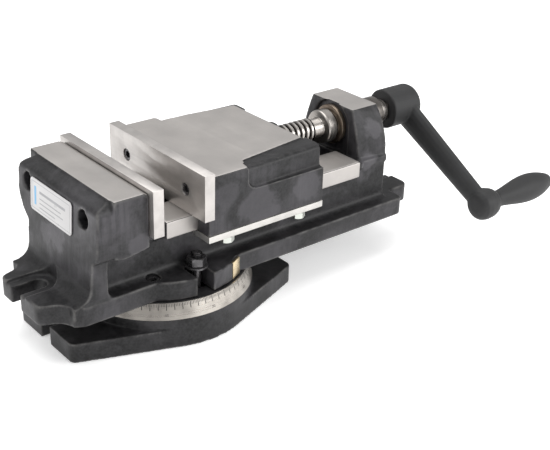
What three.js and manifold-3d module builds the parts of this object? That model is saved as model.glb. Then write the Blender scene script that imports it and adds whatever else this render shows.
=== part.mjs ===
// Machine vise on a graduated swivel base. Millimetres, +Z up.
// The origin is on the swivel axis, at the underside of the base.
// +X runs along the bed towards the crank, and +Y is the side away from the index pointer.

import * as THREE from 'three';
import { mergeVertices } from 'three/addons/utils/BufferGeometryUtils.js';
import Module from 'manifold-3d';

// ---- Driving dimensions ----

const clearance = 0.3;            // between pieces that touch or run on each other

// Swivel base
const baseThickness = 15.2;
const baseHalfLength = 100;
const baseEndHalfWidth = 39.5;
const baseCornerRadius = 6;
const mountSlotWidth = 13;
const baseSlotDepth = 26;
const discRadius = 70.5;
const discHeight = 7.8;           // plain rim above the base plate
const scaleHeight = 12.2;         // bevelled degree scale above the rim
const scaleTopRadius = 66.5;

// Clamp bolts that hold the body down on the base
const clampCircleRadius = 48;
const clampBoltRadius = 4;
const clampHeadSize = 14;
const clampHeadHeight = 6.5;
const clampSlotWidth = 9.4;
const clampWasherRadius = 8.5;
const clampWasherThickness = 1.6;
const clampNutAcrossFlats = 13;
const clampNutHeight = 6.5;
const bodySlotWidth = 14;
const bodySlotShift = -2.5;         // slot middle from the clamp bolt
const pivotRadius = 12;

// Body casting
const flangeThickness = 15;
const flangeHalfWidth = 52;
const flangeDiscRadius = 64;
const flangeRearX = 209.7;
const frontFootNear = 34.5;
const frontFootFar = 26;
const rearFootHalfWidth = 35;
const castingOffset = -2.5;       // the rough end of the casting sits off the machined middle
const footFrontX = -120.5;
const footRearX = 233;
const footSlotDepth = 24;
const bedHeight = 56.4;           // underside of the flange to the top of the ways
const webHalfWidth = 38.5;
const wayHalfWidth = 45.7;
const wayLipThickness = 13.8;
const wayRearX = 162.5;
const wayFrontX = -24;            // the lips of the ways stop short of the fixed plate
const wayFrontRelief = 5.7;
const channelHalfWidth = 16;
const channelDepth = 28;

// Jaws
const jawWidth = 125;
const jawHeight = 35.7;
const plateThickness = 8.5;
const fixedFaceX = -36.8;         // clamping face of the fixed jaw
const jawOpening = 34;            // at rest
const fixedBlockHalfWidth = 57.6;
const fixedBlockDrop = 2.2;       // block top below the plate top
const fixedBlockDepth = 27.4;
const columnDepth = 12.5;
const columnHalfWidth = 41;       // far side
const columnNearHalfWidth = 49;
const earHalfWidth = 55;
const jawScrewSpacing = 77;
const jawScrewHeight = 17.6;      // above the ways

// Movable jaw
const skirtThickness = 14;
const movableDrop = 3.4;          // block top below the plate top
const movableBlockLength = 99.2;
const skirtRearOverhang = 5;
const roofDrop = 1.4;             // the cast shoulders sit below the ground top
const scoopDepth = 18.6;
const scoopFrontOffset = 35.3;    // from the block's front to the inner corner of the ground top
const scoopFrontLean = 5.1;       // the same corner at the outer face sits this much further forward
const scoopWallInset = 2.4;
const scoopRearInset = 5;
const nearScoopEdge = 47.1;
const nearScoopNarrowing = 10.4;
const farScoopEdge = 53.8;
const farScoopNarrowing = 8.1;
const keeperThickness = 5;
const keeperBoltSpacing = 68;
const keeperBoltInset = 5.8;
const keeperBoltAcrossFlats = 10;
const keeperBoltHeadHeight = 5;
const keeperBoltRadius = 3;

// Screw, bearing and crank
const screwRadius = 10;
const screwAxisHeight = 16.35;    // above the ways
const screwFrontX = 62;
const threadRearX = 147;
const collarFrontX = 156.5;
const collarLength = 9;
const collarRadius = 14;
const journalRadius = 11;
const shaftRadius = 9;
const driveSquare = 13;
const rearBlockFrontX = 170.3;
const rearBlockLength = 27.9;
const rearBlockTopHalfWidth = 24;
const bushRadius = 15;
const bushFlangeRadius = 16.5;
const bushPocketRadius = 20.5;
const bushFlangeThickness = 4;
const bushRecess = 2.2;
const stopRingRadius = 13.6;
const stopRingLength = 21;
const hubRadius = 17;
const hubFrontX = 229.5;
const hubLength = 32.5;
const crankThrow = 113.5;
const crankAngle = 33.5;          // degrees below the horizontal, towards -Y
const armThickness = 13;
const armHubWidth = 26;
const armBossWidth = 19;
const crankBossRadius = 13.4;
const crankBossLength = 23;
const crankBossOverhang = 9.5;    // from the hub's outer end back to the boss's inner end
const gripLength = 74;
const gripBellyRadius = 12;
const gripNeckRadius = 6.4;
const gripShankRadius = 5;

// ---- Derived places ----

const discTop = baseThickness + discHeight;
const scaleTop = discTop + scaleHeight;
const flangeBottom = scaleTop + clearance;
const flangeTop = flangeBottom + flangeThickness;
const wayTop = flangeBottom + bedHeight;
const lipBottom = wayTop - wayLipThickness;
const plateBottom = wayTop + clearance;
const plateTop = wayTop + jawHeight;
const fixedPlateRearX = fixedFaceX - plateThickness;
const fixedBlockFrontX = fixedPlateRearX - clearance;
const fixedBlockRearX = fixedBlockFrontX - fixedBlockDepth;
const columnRearX = fixedBlockRearX - columnDepth;
const fixedBlockTop = plateTop - fixedBlockDrop;
const jawScrewZ = wayTop + jawScrewHeight;
const movableHalfWidth = wayHalfWidth + clearance + skirtThickness;
const movableFaceX = fixedFaceX + jawOpening;
const movableBlockFrontX = movableFaceX + plateThickness + clearance;
const movableBlockRearX = movableBlockFrontX + movableBlockLength;
const movableTop = plateTop - movableDrop;
const skirtFrontX = movableFaceX + 5.5;
const skirtRearX = movableBlockRearX + skirtRearOverhang;
const axisZ = wayTop + screwAxisHeight;
const rearBlockRearX = rearBlockFrontX + rearBlockLength;
const bushFrontX = rearBlockFrontX + bushRecess - bushFlangeThickness;
const stopRingFrontX = rearBlockRearX + clearance;
const stopRingRearX = stopRingFrontX + stopRingLength;
const hubRearX = hubFrontX + hubLength;
const crankBossFrontX = hubRearX - crankBossOverhang;
const crankBossRearX = crankBossFrontX + crankBossLength;
const clampCavityTop = scaleTop - 9;
const clampCavityBottom = clampCavityTop - clampHeadHeight - 2 * clearance - 1;

// ---- Colours ----

const ironPaint = { color: 0x47464a, roughness: 0.62, metalness: 0.25 };
const groundSteel = { color: 0xb9b3ad, roughness: 0.28, metalness: 0.9 };
const brightZinc = { color: 0xcfd2cf, roughness: 0.35, metalness: 0.9 };
const darkSteel = { color: 0x5a5856, roughness: 0.45, metalness: 0.85 };
const crankIron = { color: 0x424243, roughness: 0.7, metalness: 0.2 };
const bronze = { color: 0x9c7b52, roughness: 0.4, metalness: 0.9 };
const plateWhite = { color: 0xe9e7e4, roughness: 0.4, metalness: 0.1 };

// ---- Solid helpers ----

const wasm = await Module();
wasm.setup();

function solidOf(geometry) {
  geometry.deleteAttribute('normal');
  geometry.deleteAttribute('uv');
  const merged = mergeVertices(geometry, 1e-4);
  const vertProperties = new Float32Array(merged.attributes.position.array);
  const triVerts = new Uint32Array(merged.index.array);
  return new wasm.Manifold(new wasm.Mesh({ numProp: 3, vertProperties, triVerts }));
}

function geometryOf(solid) {
  const mesh = solid.getMesh();
  const geometry = new THREE.BufferGeometry();
  geometry.setAttribute('position', new THREE.BufferAttribute(mesh.vertProperties, 3));
  geometry.setIndex(new THREE.BufferAttribute(mesh.triVerts, 1));
  geometry.computeVertexNormals();
  return geometry;
}

function join(...solids) {
  return solids.reduce((whole, next) => whole.add(next));
}

function cut(solid, ...tools) {
  return tools.reduce((whole, tool) => whole.subtract(tool), solid);
}

function block(x0, x1, y0, y1, z0, z1) {
  const geometry = new THREE.BoxGeometry(x1 - x0, y1 - y0, z1 - z0);
  geometry.translate((x0 + x1) / 2, (y0 + y1) / 2, (z0 + z1) / 2);
  return solidOf(geometry);
}

function prismZ(shape, z0, z1, curveSegments = 8) {
  const geometry = new THREE.ExtrudeGeometry(shape, { depth: z1 - z0, bevelEnabled: false, curveSegments });
  geometry.translate(0, 0, z0);
  return solidOf(geometry);
}

// The shape is drawn as (y, z) and swept along X.
function prismX(shape, x0, x1, curveSegments = 8) {
  const geometry = new THREE.ExtrudeGeometry(shape, { depth: x1 - x0, bevelEnabled: false, curveSegments });
  geometry.applyMatrix4(new THREE.Matrix4().makeBasis(
    new THREE.Vector3(0, 1, 0), new THREE.Vector3(0, 0, 1), new THREE.Vector3(1, 0, 0)));
  geometry.translate(x0, 0, 0);
  return solidOf(geometry);
}

// The shape is drawn as (x, z) and swept along Y.
function prismY(shape, y0, y1, curveSegments = 8) {
  const geometry = new THREE.ExtrudeGeometry(shape, { depth: y1 - y0, bevelEnabled: false, curveSegments });
  geometry.applyMatrix4(new THREE.Matrix4().makeBasis(
    new THREE.Vector3(1, 0, 0), new THREE.Vector3(0, 0, 1), new THREE.Vector3(0, -1, 0)));
  geometry.translate(0, y1, 0);
  return solidOf(geometry);
}

function rodZ(radius, x, y, z0, z1, segments = 24) {
  const geometry = new THREE.CylinderGeometry(radius, radius, z1 - z0, segments);
  geometry.rotateX(Math.PI / 2);
  geometry.translate(x, y, (z0 + z1) / 2);
  return solidOf(geometry);
}

function rodX(radius, y, z, x0, x1, segments = 24) {
  const geometry = new THREE.CylinderGeometry(radius, radius, x1 - x0, segments);
  geometry.rotateZ(-Math.PI / 2);
  geometry.translate((x0 + x1) / 2, y, z);
  return solidOf(geometry);
}

// A body turned about Z from a closed (radius, height) outline.
function turnedZ(points, segments) {
  return solidOf(new THREE.LatheGeometry(points.map(([r, z]) => new THREE.Vector2(r, z)), segments).rotateX(Math.PI / 2));
}

// A body turned about X through (y, z), from an (x, radius) outline that starts and ends on the axis.
function turnedX(points, y, z, segments = 24) {
  const outline = points.map(([x, r]) => new THREE.Vector2(r, x));
  const geometry = new THREE.LatheGeometry(outline, segments);
  geometry.rotateZ(-Math.PI / 2);
  geometry.translate(0, y, z);
  return solidOf(geometry);
}

function shapeOf(points) {
  return new THREE.Shape(points.map(([x, y]) => new THREE.Vector2(x, y)));
}

// Outline stretched round a set of discs, each [x, y, radius].
function stretchedOutline(discs, segments = 32) {
  const points = [];
  for (const [x, y, radius] of discs) {
    for (let i = 0; i < segments; i += 1) {
      const angle = (i / segments) * 2 * Math.PI;
      points.push([x + radius * Math.cos(angle), y + radius * Math.sin(angle)]);
    }
  }
  points.sort((a, b) => a[0] - b[0] || a[1] - b[1]);
  const turn = (a, b, c) => (b[0] - a[0]) * (c[1] - a[1]) - (b[1] - a[1]) * (c[0] - a[0]);
  const half = (list) => {
    const chain = [];
    for (const point of list) {
      while (chain.length > 1 && turn(chain.at(-2), chain.at(-1), point) <= 1e-9) chain.pop();
      chain.push(point);
    }
    return chain.slice(0, -1);
  };
  return shapeOf([...half(points), ...half([...points].reverse())]);
}

// Plan outline of a plate with four rounded corners.
function roundedPlan(x0, x1, halfWidth, radius, segments = 16) {
  const corners = [];
  for (const x of [x0 + radius, x1 - radius]) {
    for (const y of [-halfWidth + radius, halfWidth - radius]) corners.push([x, y, radius]);
  }
  return stretchedOutline(corners, segments);
}

// A slot with a round inner end at x = innerX, open at x = mouthX.
function openSlot(innerX, mouthX, width, z0, z1) {
  const radius = width / 2;
  const side = Math.sign(mouthX - innerX);
  const end = stretchedOutline([[innerX + side * radius, 0, radius], [mouthX + side * radius, 0, radius]], 24);
  return prismZ(end, z0, z1);
}

// A body through a row of rings, each a list of [x, y, z] with the same number of points.
function loft(rings) {
  const around = rings[0].length;
  const index = [];
  for (let i = 0; i < rings.length - 1; i += 1) {
    for (let j = 0; j < around; j += 1) {
      const a = i * around + j;
      const b = i * around + ((j + 1) % around);
      index.push(a, b, b + around, a, b + around, a + around);
    }
  }
  const last = (rings.length - 1) * around;
  for (let j = 1; j < around - 1; j += 1) index.push(0, j + 1, j, last, last + j, last + j + 1);
  const geometry = new THREE.BufferGeometry();
  geometry.setAttribute('position', new THREE.Float32BufferAttribute(rings.flat(2), 3));
  geometry.setIndex(index);
  const solid = solidOf(geometry);
  return solid.volume() > 0 ? solid : loft([...rings].reverse());
}

// ---- Swivel base ----

function swivelBase() {
  const c = baseCornerRadius;
  const corners = [];
  for (const side of [-1, 1]) {
    for (const hand of [-1, 1]) corners.push([side * (baseHalfLength - c), hand * (baseEndHalfWidth - c), c]);
  }
  const plate = prismZ(stretchedOutline([[0, 0, discRadius], ...corners], 64), 0, baseThickness);
  const disc = turnedZ([[0, 1], [discRadius, 1], [discRadius, discTop], [scaleTopRadius, scaleTop], [0, scaleTop]], 64);
  const neck = clampSlotWidth / 2;
  const cavity = clampHeadSize / 2 + 1;
  const clampGroove = turnedZ([
    [clampCircleRadius - cavity, clampCavityBottom],
    [clampCircleRadius + cavity, clampCavityBottom],
    [clampCircleRadius + cavity, clampCavityTop],
    [clampCircleRadius + neck, clampCavityTop],
    [clampCircleRadius + neck, scaleTop + 1],
    [clampCircleRadius - neck, scaleTop + 1],
    [clampCircleRadius - neck, clampCavityTop],
    [clampCircleRadius - cavity, clampCavityTop],
    [clampCircleRadius - cavity, clampCavityBottom],
  ], 48);
  const boltEntry = rodZ(clampHeadSize * 0.75, clampCircleRadius, 0, -1, clampCavityBottom + 1);
  const pivotBore = rodZ(pivotRadius + clearance, 0, 0, 4, scaleTop + 1);
  const slots = [-1, 1].map((side) => openSlot(
    side * (baseHalfLength - baseSlotDepth), side * baseHalfLength, mountSlotWidth, -1, baseThickness + 1));
  return cut(join(plate, disc), clampGroove, boltEntry, pivotBore, ...slots);
}

function pivotPin() {
  const chamfer = 1.5;
  const top = flangeTop - 3;
  const foot = 4 + clearance;
  return turnedZ([
    [0, foot], [pivotRadius, foot], [pivotRadius, top - chamfer], [pivotRadius - chamfer, top], [0, top],
  ], 32);
}

// ---- Body casting ----

// Half outline of the end column, with an ear round each jaw plate screw.
function columnOutline(bottom, top) {
  const shape = new THREE.Shape();
  const earCorner = 12;
  const waist = jawScrewZ - 29;
  const nearCrease = lipBottom + 3;
  shape.moveTo(-columnNearHalfWidth + 1.5, bottom);
  shape.lineTo(columnHalfWidth, bottom);
  shape.lineTo(columnHalfWidth, waist);
  shape.bezierCurveTo(columnHalfWidth + 6, waist + 4, earHalfWidth, waist + 12, earHalfWidth, jawScrewZ - 8);
  shape.lineTo(earHalfWidth, top - earCorner);
  shape.quadraticCurveTo(earHalfWidth, top, earHalfWidth - earCorner, top);
  shape.lineTo(-earHalfWidth + earCorner, top);
  shape.quadraticCurveTo(-earHalfWidth, top, -earHalfWidth, top - earCorner);
  shape.lineTo(-earHalfWidth, nearCrease + 5);
  shape.bezierCurveTo(-earHalfWidth, nearCrease + 1, -columnNearHalfWidth, nearCrease + 2, -columnNearHalfWidth, nearCrease - 2);
  shape.closePath();
  return shape;
}

const columnTop = fixedBlockTop - 2.6;
const columnFootX = columnRearX - 3.5;      // the end face leans out towards the foot
const columnFillet = 14;

function endColumn() {
  const shape = new THREE.Shape();
  const inner = fixedBlockRearX + 6;
  const legRear = fixedBlockRearX - 2.5;
  const legFillet = 5;
  shape.moveTo(legRear + legFillet, flangeBottom + 1);
  shape.lineTo(legRear + legFillet, flangeTop);
  shape.quadraticCurveTo(legRear, flangeTop, legRear, flangeTop + legFillet + 3);
  shape.lineTo(legRear, lipBottom + 4.5);
  shape.lineTo(inner, lipBottom + 4.5);
  shape.lineTo(inner, columnTop + 1.6);
  shape.lineTo(fixedBlockRearX, columnTop + 1.6);
  shape.lineTo(columnRearX + 5, columnTop - 1);
  shape.quadraticCurveTo(columnRearX + 0.5, columnTop - 2, columnRearX, columnTop - 6);
  shape.lineTo(columnFootX, flangeTop + columnFillet);
  shape.quadraticCurveTo(columnFootX, flangeTop, columnFootX - columnFillet, flangeTop);
  shape.lineTo(columnFootX - columnFillet, flangeBottom + 1);
  shape.closePath();
  const profile = prismY(shape, -earHalfWidth - 1, earHalfWidth + 1, 6);
  const ears = prismX(columnOutline(flangeBottom, columnTop + 2), columnFootX - columnFillet - 1, inner + 1, 6);
  return profile.intersect(ears).translate([0, castingOffset, 0]);
}

function fixedBlock() {
  const foot = lipBottom + 4;
  const shape = shapeOf([
    [fixedBlockRearX, fixedBlockTop],
    [fixedBlockRearX, foot],
    [fixedBlockRearX + 8, foot - 1.4],
    [fixedBlockFrontX, foot + 2],
    [fixedBlockFrontX, fixedBlockTop],
  ]);
  return prismY(shape, -fixedBlockHalfWidth, fixedBlockHalfWidth);
}

// The screw support: a flat top with sides that flare out to a shoulder, a little wider at the rear.
function rearBlock() {
  const section = (x, draft, rise) => {
    const side = [];
    const top = plateTop - clearance;
    const shoulder = wayTop - 3;
    const steps = 6;
    for (let i = 0; i <= steps; i += 1) {
      const t = i / steps;
      const bulge = Math.pow(Math.sin(t * Math.PI), 0.75) * rise;
      side.push([THREE.MathUtils.lerp(webHalfWidth - draft, rearBlockTopHalfWidth, t) + (i < steps ? bulge : 0),
        THREE.MathUtils.lerp(shoulder, top, t)]);
    }
    const foot = [
      [webHalfWidth, flangeTop - 1], [webHalfWidth, lipBottom + 2],
      [webHalfWidth + 2 - draft / 2, lipBottom + 5], [webHalfWidth + 2 - draft / 2, shoulder - 2],
    ];
    const half = [...foot, ...side];
    return [...half, ...half.map(([y, z]) => [-y, z]).reverse()].map(([y, z]) => [x, y, z]);
  };
  return loft([section(rearBlockFrontX, 3.4, 1.3), section(rearBlockRearX, 0, 4.2)]);
}

function webFillet(hand) {
  const radius = 6;
  const shape = new THREE.Shape();
  shape.moveTo(hand * (webHalfWidth - 1), flangeTop - 1);
  shape.lineTo(hand * (webHalfWidth + radius), flangeTop - 1);
  shape.lineTo(hand * (webHalfWidth + radius), flangeTop);
  shape.quadraticCurveTo(hand * webHalfWidth, flangeTop, hand * webHalfWidth, flangeTop + radius);
  shape.lineTo(hand * (webHalfWidth - 1), flangeTop + radius);
  shape.closePath();
  return prismX(shape, fixedBlockRearX, rearBlockRearX - 1, 5);
}

// Plan of the front foot: the flange sweeps in on both sides to the slotted lug.
function frontFootPlan() {
  const shape = new THREE.Shape();
  const inner = columnRearX + 14;
  const shoulder = footFrontX + 27;
  const near = -frontFootNear;
  const far = frontFootFar;
  const nearShoulder = -flangeHalfWidth;
  const farShoulder = frontFootFar + 14;
  shape.moveTo(inner, nearShoulder);
  shape.lineTo(inner, farShoulder);
  shape.lineTo(shoulder + 1, farShoulder);
  shape.bezierCurveTo(shoulder - 9, farShoulder, shoulder - 8, far + 3, shoulder - 15, far);
  shape.bezierCurveTo(shoulder - 20, far - 2, footFrontX, far - 2, footFrontX, far - 8);
  shape.lineTo(footFrontX, near + 7);
  shape.bezierCurveTo(footFrontX, near, shoulder - 21, near + 0.5, shoulder - 16, near - 2);
  shape.bezierCurveTo(shoulder - 9, near - 5, shoulder - 10, nearShoulder, shoulder + 1, nearShoulder);
  shape.closePath();
  return shape;
}

const flangeScrewX = -35;
const flangeScrewY = -43.6;
const flangeScrewRadius = 5;
const indexX = 30.4;
const indexY = -56.5;
const indexAngle = THREE.MathUtils.degToRad(27.5);
const indexWidth = 11;
const indexThickness = 2;

// Boxes set at the index facet, in its own turned frame.
function indexBox(width, depth0, depth1, z0, z1) {
  const geometry = new THREE.BoxGeometry(width, depth1 - depth0, z1 - z0);
  geometry.translate(0, (depth0 + depth1) / 2, (z0 + z1) / 2);
  geometry.rotateZ(indexAngle);
  geometry.translate(indexX, indexY, 0);
  return solidOf(geometry);
}

function viseBody() {
  const solids = [
    prismZ(roundedPlan(columnRearX + 5, flangeRearX, flangeHalfWidth, 6), flangeBottom, flangeTop),
    rodZ(flangeDiscRadius, 0, 0, flangeBottom, flangeTop, 64),
    prismZ(frontFootPlan(), flangeBottom, flangeTop),
    prismZ(roundedPlan(flangeRearX - 15, footRearX, rearFootHalfWidth, 7), flangeBottom, flangeTop),
    endColumn(),
    fixedBlock(),
    block(columnRearX + 6, wayRearX, -webHalfWidth, webHalfWidth, flangeTop - 1, lipBottom + 1),
    block(fixedBlockRearX + 4, wayRearX, -wayHalfWidth, wayHalfWidth, lipBottom, wayTop),
    rearBlock(),
    block(wayRearX - 1, rearBlockFrontX + 1, -webHalfWidth - 2, webHalfWidth + 2, lipBottom + 4, wayTop - 5),
    block(wayRearX - 1, rearBlockFrontX + 1, -webHalfWidth, webHalfWidth, flangeTop - 1, lipBottom + 5),
    webFillet(-1),
    webFillet(1),
  ];
  const tools = [
    block(wayFrontX + 4, rearBlockFrontX - 2, -channelHalfWidth, channelHalfWidth, wayTop - channelDepth, wayTop + 2),
    rodX(bushRadius + clearance, 0, axisZ, rearBlockFrontX - 1, rearBlockRearX + 1, 32),
    rodX(bushPocketRadius, 0, axisZ, rearBlockFrontX - 1, rearBlockFrontX + bushRecess + clearance, 32),
    block(rearBlockFrontX - 1, rearBlockFrontX + bushRecess + clearance, -bushPocketRadius, bushPocketRadius,
      wayTop - 6, axisZ),
    rodZ(pivotRadius + clearance, 0, 0, flangeBottom - 1, flangeTop - 3 + clearance, 32),
    openSlot(footFrontX + footSlotDepth, footFrontX, mountSlotWidth, flangeBottom - 1, flangeTop + 30),
    openSlot(footRearX - footSlotDepth, footRearX, mountSlotWidth, flangeBottom - 1, flangeTop + 30),
    openSlot(footFrontX + footSlotDepth + 7, footFrontX, mountSlotWidth + 15, flangeTop - 2, flangeTop + 30),
    openSlot(footRearX - footSlotDepth - 7, footRearX, mountSlotWidth + 15, flangeTop - 2, flangeTop + 12),
    rodZ(flangeScrewRadius + clearance, flangeScrewX, flangeScrewY, flangeTop - 9, flangeTop + 1),
    indexBox(indexWidth + 2 * clearance, -20, indexThickness + clearance, flangeBottom - 1, flangeTop + 1),
    block(fixedBlockFrontX - 3, fixedBlockFrontX + 1, -fixedBlockHalfWidth - 1, fixedBlockHalfWidth + 1,
      fixedBlockTop - 1, fixedBlockTop + 1),
  ];
  for (const hand of [-1, 1]) {
    const y = hand * clampCircleRadius;
    const outer = hand * (flangeDiscRadius + 10);
    const side = bodySlotWidth / 2;
    tools.push(block(bodySlotShift - side, bodySlotShift + side, Math.min(y, outer), Math.max(y, outer),
      flangeBottom - 1, flangeTop + 1));
    tools.push(rodZ(side, bodySlotShift, y, flangeBottom - 1, flangeTop + 1));
    tools.push(rodZ(clampWasherRadius + 1.5, 0, y, flangeTop, flangeTop + 12));
    const relief = hand * (wayHalfWidth - wayFrontRelief);
    const beyond = hand * (wayHalfWidth + 1);
    tools.push(block(fixedBlockFrontX + 0.5, wayFrontX, Math.min(relief, beyond), Math.max(relief, beyond),
      lipBottom - 1, wayTop + 1));
    const screwY = hand * jawScrewSpacing / 2;
    tools.push(rodX(plateScrewHead + clearance, screwY, jawScrewZ, columnFootX - 5, rearHeadX + clearance));
    tools.push(rodX(rearScrewRadius + clearance, screwY, jawScrewZ, columnFootX, fixedBlockFrontX + 1));
  }
  return cut(join(...solids), ...tools);
}

// ---- Jaw plates and their screws ----

const rearScrewRadius = 4;
const plateScrewHead = 6.5;
const rearScrewHeadLength = 8;
const rearHeadX = fixedBlockRearX + 13;         // seat of the rear screws' heads
const frontScrewRadius = 3;
const frontScrewHead = 4.6;
const frontScrewHeadLength = 5.5;

function fixedJawPlate() {
  const plate = block(fixedPlateRearX, fixedFaceX, -jawWidth / 2, jawWidth / 2, plateBottom, plateTop);
  const holes = [-1, 1].map((hand) => rodX(
    rearScrewRadius + clearance, hand * jawScrewSpacing / 2, jawScrewZ, fixedPlateRearX - 1, fixedPlateRearX + 6));
  return cut(plate, ...holes);
}

function movableJawPlate() {
  const rear = movableFaceX + plateThickness;
  const plate = block(movableFaceX, rear, -jawWidth / 2, jawWidth / 2, plateBottom, plateTop);
  const holes = [];
  for (const hand of [-1, 1]) {
    const y = hand * jawScrewSpacing / 2;
    holes.push(rodX(frontScrewHead + clearance, y, jawScrewZ, movableFaceX - 1, movableFaceX + 1 + frontScrewHeadLength));
    holes.push(rodX(frontScrewRadius + clearance, y, jawScrewZ, movableFaceX, rear + 1));
  }
  return cut(plate, ...holes);
}

// A socket head cap screw along +X, with its head's outer face at x = 0.
function capScrew(headRadius, headLength, radius, length, socket) {
  const body = turnedX([
    [0, 0], [0, headRadius], [headLength, headRadius], [headLength, radius], [headLength + length, radius],
    [headLength + length, 0],
  ], 0, 0, 20);
  const key = new THREE.CylinderGeometry(socket / Math.sqrt(3), socket / Math.sqrt(3), headLength, 6);
  key.rotateZ(-Math.PI / 2);
  return cut(body, solidOf(key));
}

// ---- Movable jaw ----

const nutRadius = 12.8;
const nutLength = 18;
const nutRearX = skirtRearX;
const nutFrontX = nutRearX - nutLength;
const nutBossRadius = 14.7;
const jawCavityFrontX = movableBlockFrontX + 9.6;
const jawCavityHalfWidth = 34;
const wingInner = 37.5;           // the jaw's side walls run on behind the ground top
const skirtBottom = lipBottom;
const keeperTop = skirtBottom - clearance;
const keeperBottom = keeperTop - keeperThickness;
const keeperInner = webHalfWidth + 1.5;

// What is taken off one side of the jaw behind the plate: the casting's shoulder sits a little
// below the ground top, turns over in a soft edge and drops to a ledge above the skirt.
function sideScoop(hand, edge, narrowing) {
  const floor = movableTop - scoopDepth;
  const corner = movableBlockFrontX + scoopFrontOffset;
  const rear = skirtRearX + 3;
  const outer = movableHalfWidth + 6;
  const above = movableTop + 2;
  const roof = movableTop - roofDrop;
  const plan = shapeOf([
    [corner - scoopFrontLean - 2.6, hand * outer], [corner - scoopFrontLean, hand * movableHalfWidth],
    [corner, hand * edge], [rear, hand * (edge - narrowing)], [rear, hand * outer],
  ]);
  const section = (x, inset, lift) => {
    const wall = movableHalfWidth - inset;
    const points = [
      [outer, above], [wall - 5.5, above], [wall - 5.5, roof], [wall - 2.4, roof - 0.8], [wall - 0.7, roof - 2.6],
      [wall, roof - 5], [wall, floor + lift + 1.5], [wall + 0.6, floor + lift + 0.4], [wall + 1.8, floor + lift],
      [outer, floor + lift],
    ];
    return points.map(([y, z]) => [x, hand * y, z]);
  };
  const front = corner - scoopFrontLean + 1.5;
  const wallTool = loft([
    section(front, scoopWallInset, 6.5), section(front + 1.5, scoopWallInset, 3.6),
    section(front + 4, scoopWallInset, 1.4), section(front + 8, scoopWallInset, 0.2),
    section(front + 12, scoopWallInset + 0.2, 0), section(rear, scoopRearInset, 0),
  ]);
  return join(prismZ(plan, roof, above), wallTool);
}

function movableJaw() {
  const solids = [
    block(movableBlockFrontX, movableBlockRearX, -movableHalfWidth, movableHalfWidth, plateBottom, movableTop),
    block(movableBlockRearX - 1, skirtRearX, -movableHalfWidth, movableHalfWidth, plateBottom, movableTop - scoopDepth - 1),
    rodX(nutBossRadius, 0, axisZ, movableBlockRearX - 5, skirtRearX, 32),
    block(movableBlockFrontX + 25, movableBlockFrontX + 75, -channelHalfWidth + clearance,
      channelHalfWidth - clearance, wayTop - 12, plateBottom + 1),
  ];
  for (const hand of [-1, 1]) {
    const inner = hand * (wayHalfWidth + clearance);
    const outer = hand * movableHalfWidth;
    solids.push(block(skirtFrontX, skirtRearX, Math.min(inner, outer), Math.max(inner, outer), skirtBottom, plateBottom - clearance));
    solids.push(block(movableBlockFrontX, skirtRearX, Math.min(inner, outer), Math.max(inner, outer), plateBottom - 1, plateBottom + 1));
    const wing = hand * wingInner;
    solids.push(block(movableBlockRearX - 1, skirtRearX, Math.min(wing, outer), Math.max(wing, outer),
      plateBottom, movableTop - roofDrop));
  }
  const tools = [
    sideScoop(-1, nearScoopEdge, nearScoopNarrowing),
    sideScoop(1, farScoopEdge, farScoopNarrowing),
    block(jawCavityFrontX, nutFrontX - 6, -jawCavityHalfWidth, jawCavityHalfWidth, plateBottom - 20, movableTop - 12),
    rodX(nutRadius + clearance, 0, axisZ, nutFrontX - 7, skirtRearX + 1, 32),
    rodX(screwRadius + 2, 0, axisZ, jawCavityFrontX, nutFrontX, 32),
  ];
  for (const hand of [-1, 1]) {
    const y = hand * jawScrewSpacing / 2;
    tools.push(rodX(frontScrewRadius + clearance, y, jawScrewZ, movableBlockFrontX - 1, movableBlockFrontX + 9));
    for (const x of keeperBoltPlaces()) {
      tools.push(rodZ(keeperBoltRadius + clearance, x, hand * keeperBoltY, skirtBottom - 1, skirtBottom + 11, 16));
    }
  }
  return cut(join(...solids), ...tools);
}

const keeperBoltY = movableHalfWidth - keeperBoltInset;

function keeperBoltPlaces() {
  const middle = (skirtFrontX + skirtRearX) / 2;
  return [middle - keeperBoltSpacing / 2, middle + keeperBoltSpacing / 2];
}

function keeperStrip(hand) {
  const y0 = Math.min(hand * keeperInner, hand * movableHalfWidth);
  const y1 = Math.max(hand * keeperInner, hand * movableHalfWidth);
  const strip = block(skirtFrontX, skirtRearX, y0, y1, keeperBottom, keeperTop);
  const holes = keeperBoltPlaces().map((x) => rodZ(
    keeperBoltRadius + clearance, x, hand * keeperBoltY, keeperBottom - 1, keeperTop + 1, 16));
  return cut(strip, ...holes);
}

// A hex head bolt along +Z, with the head's seat at z = 0 and the shank above it.
function hexBolt(acrossFlats, headHeight, radius, length) {
  const head = new THREE.CylinderGeometry(acrossFlats / Math.sqrt(3), acrossFlats / Math.sqrt(3), headHeight, 6);
  head.rotateX(Math.PI / 2);
  head.translate(0, 0, -headHeight / 2);
  return join(solidOf(head), rodZ(radius, 0, 0, -1, length, 16));
}

function leadNut() {
  const nut = turnedX([
    [nutFrontX - 5, screwRadius + clearance], [nutFrontX - 5, nutRadius], [nutRearX, nutRadius],
    [nutRearX, screwRadius + clearance], [nutFrontX - 5, screwRadius + clearance],
  ], 0, axisZ, 32);
  return nut;
}

// ---- Lead screw, bearing and stop ring ----

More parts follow.
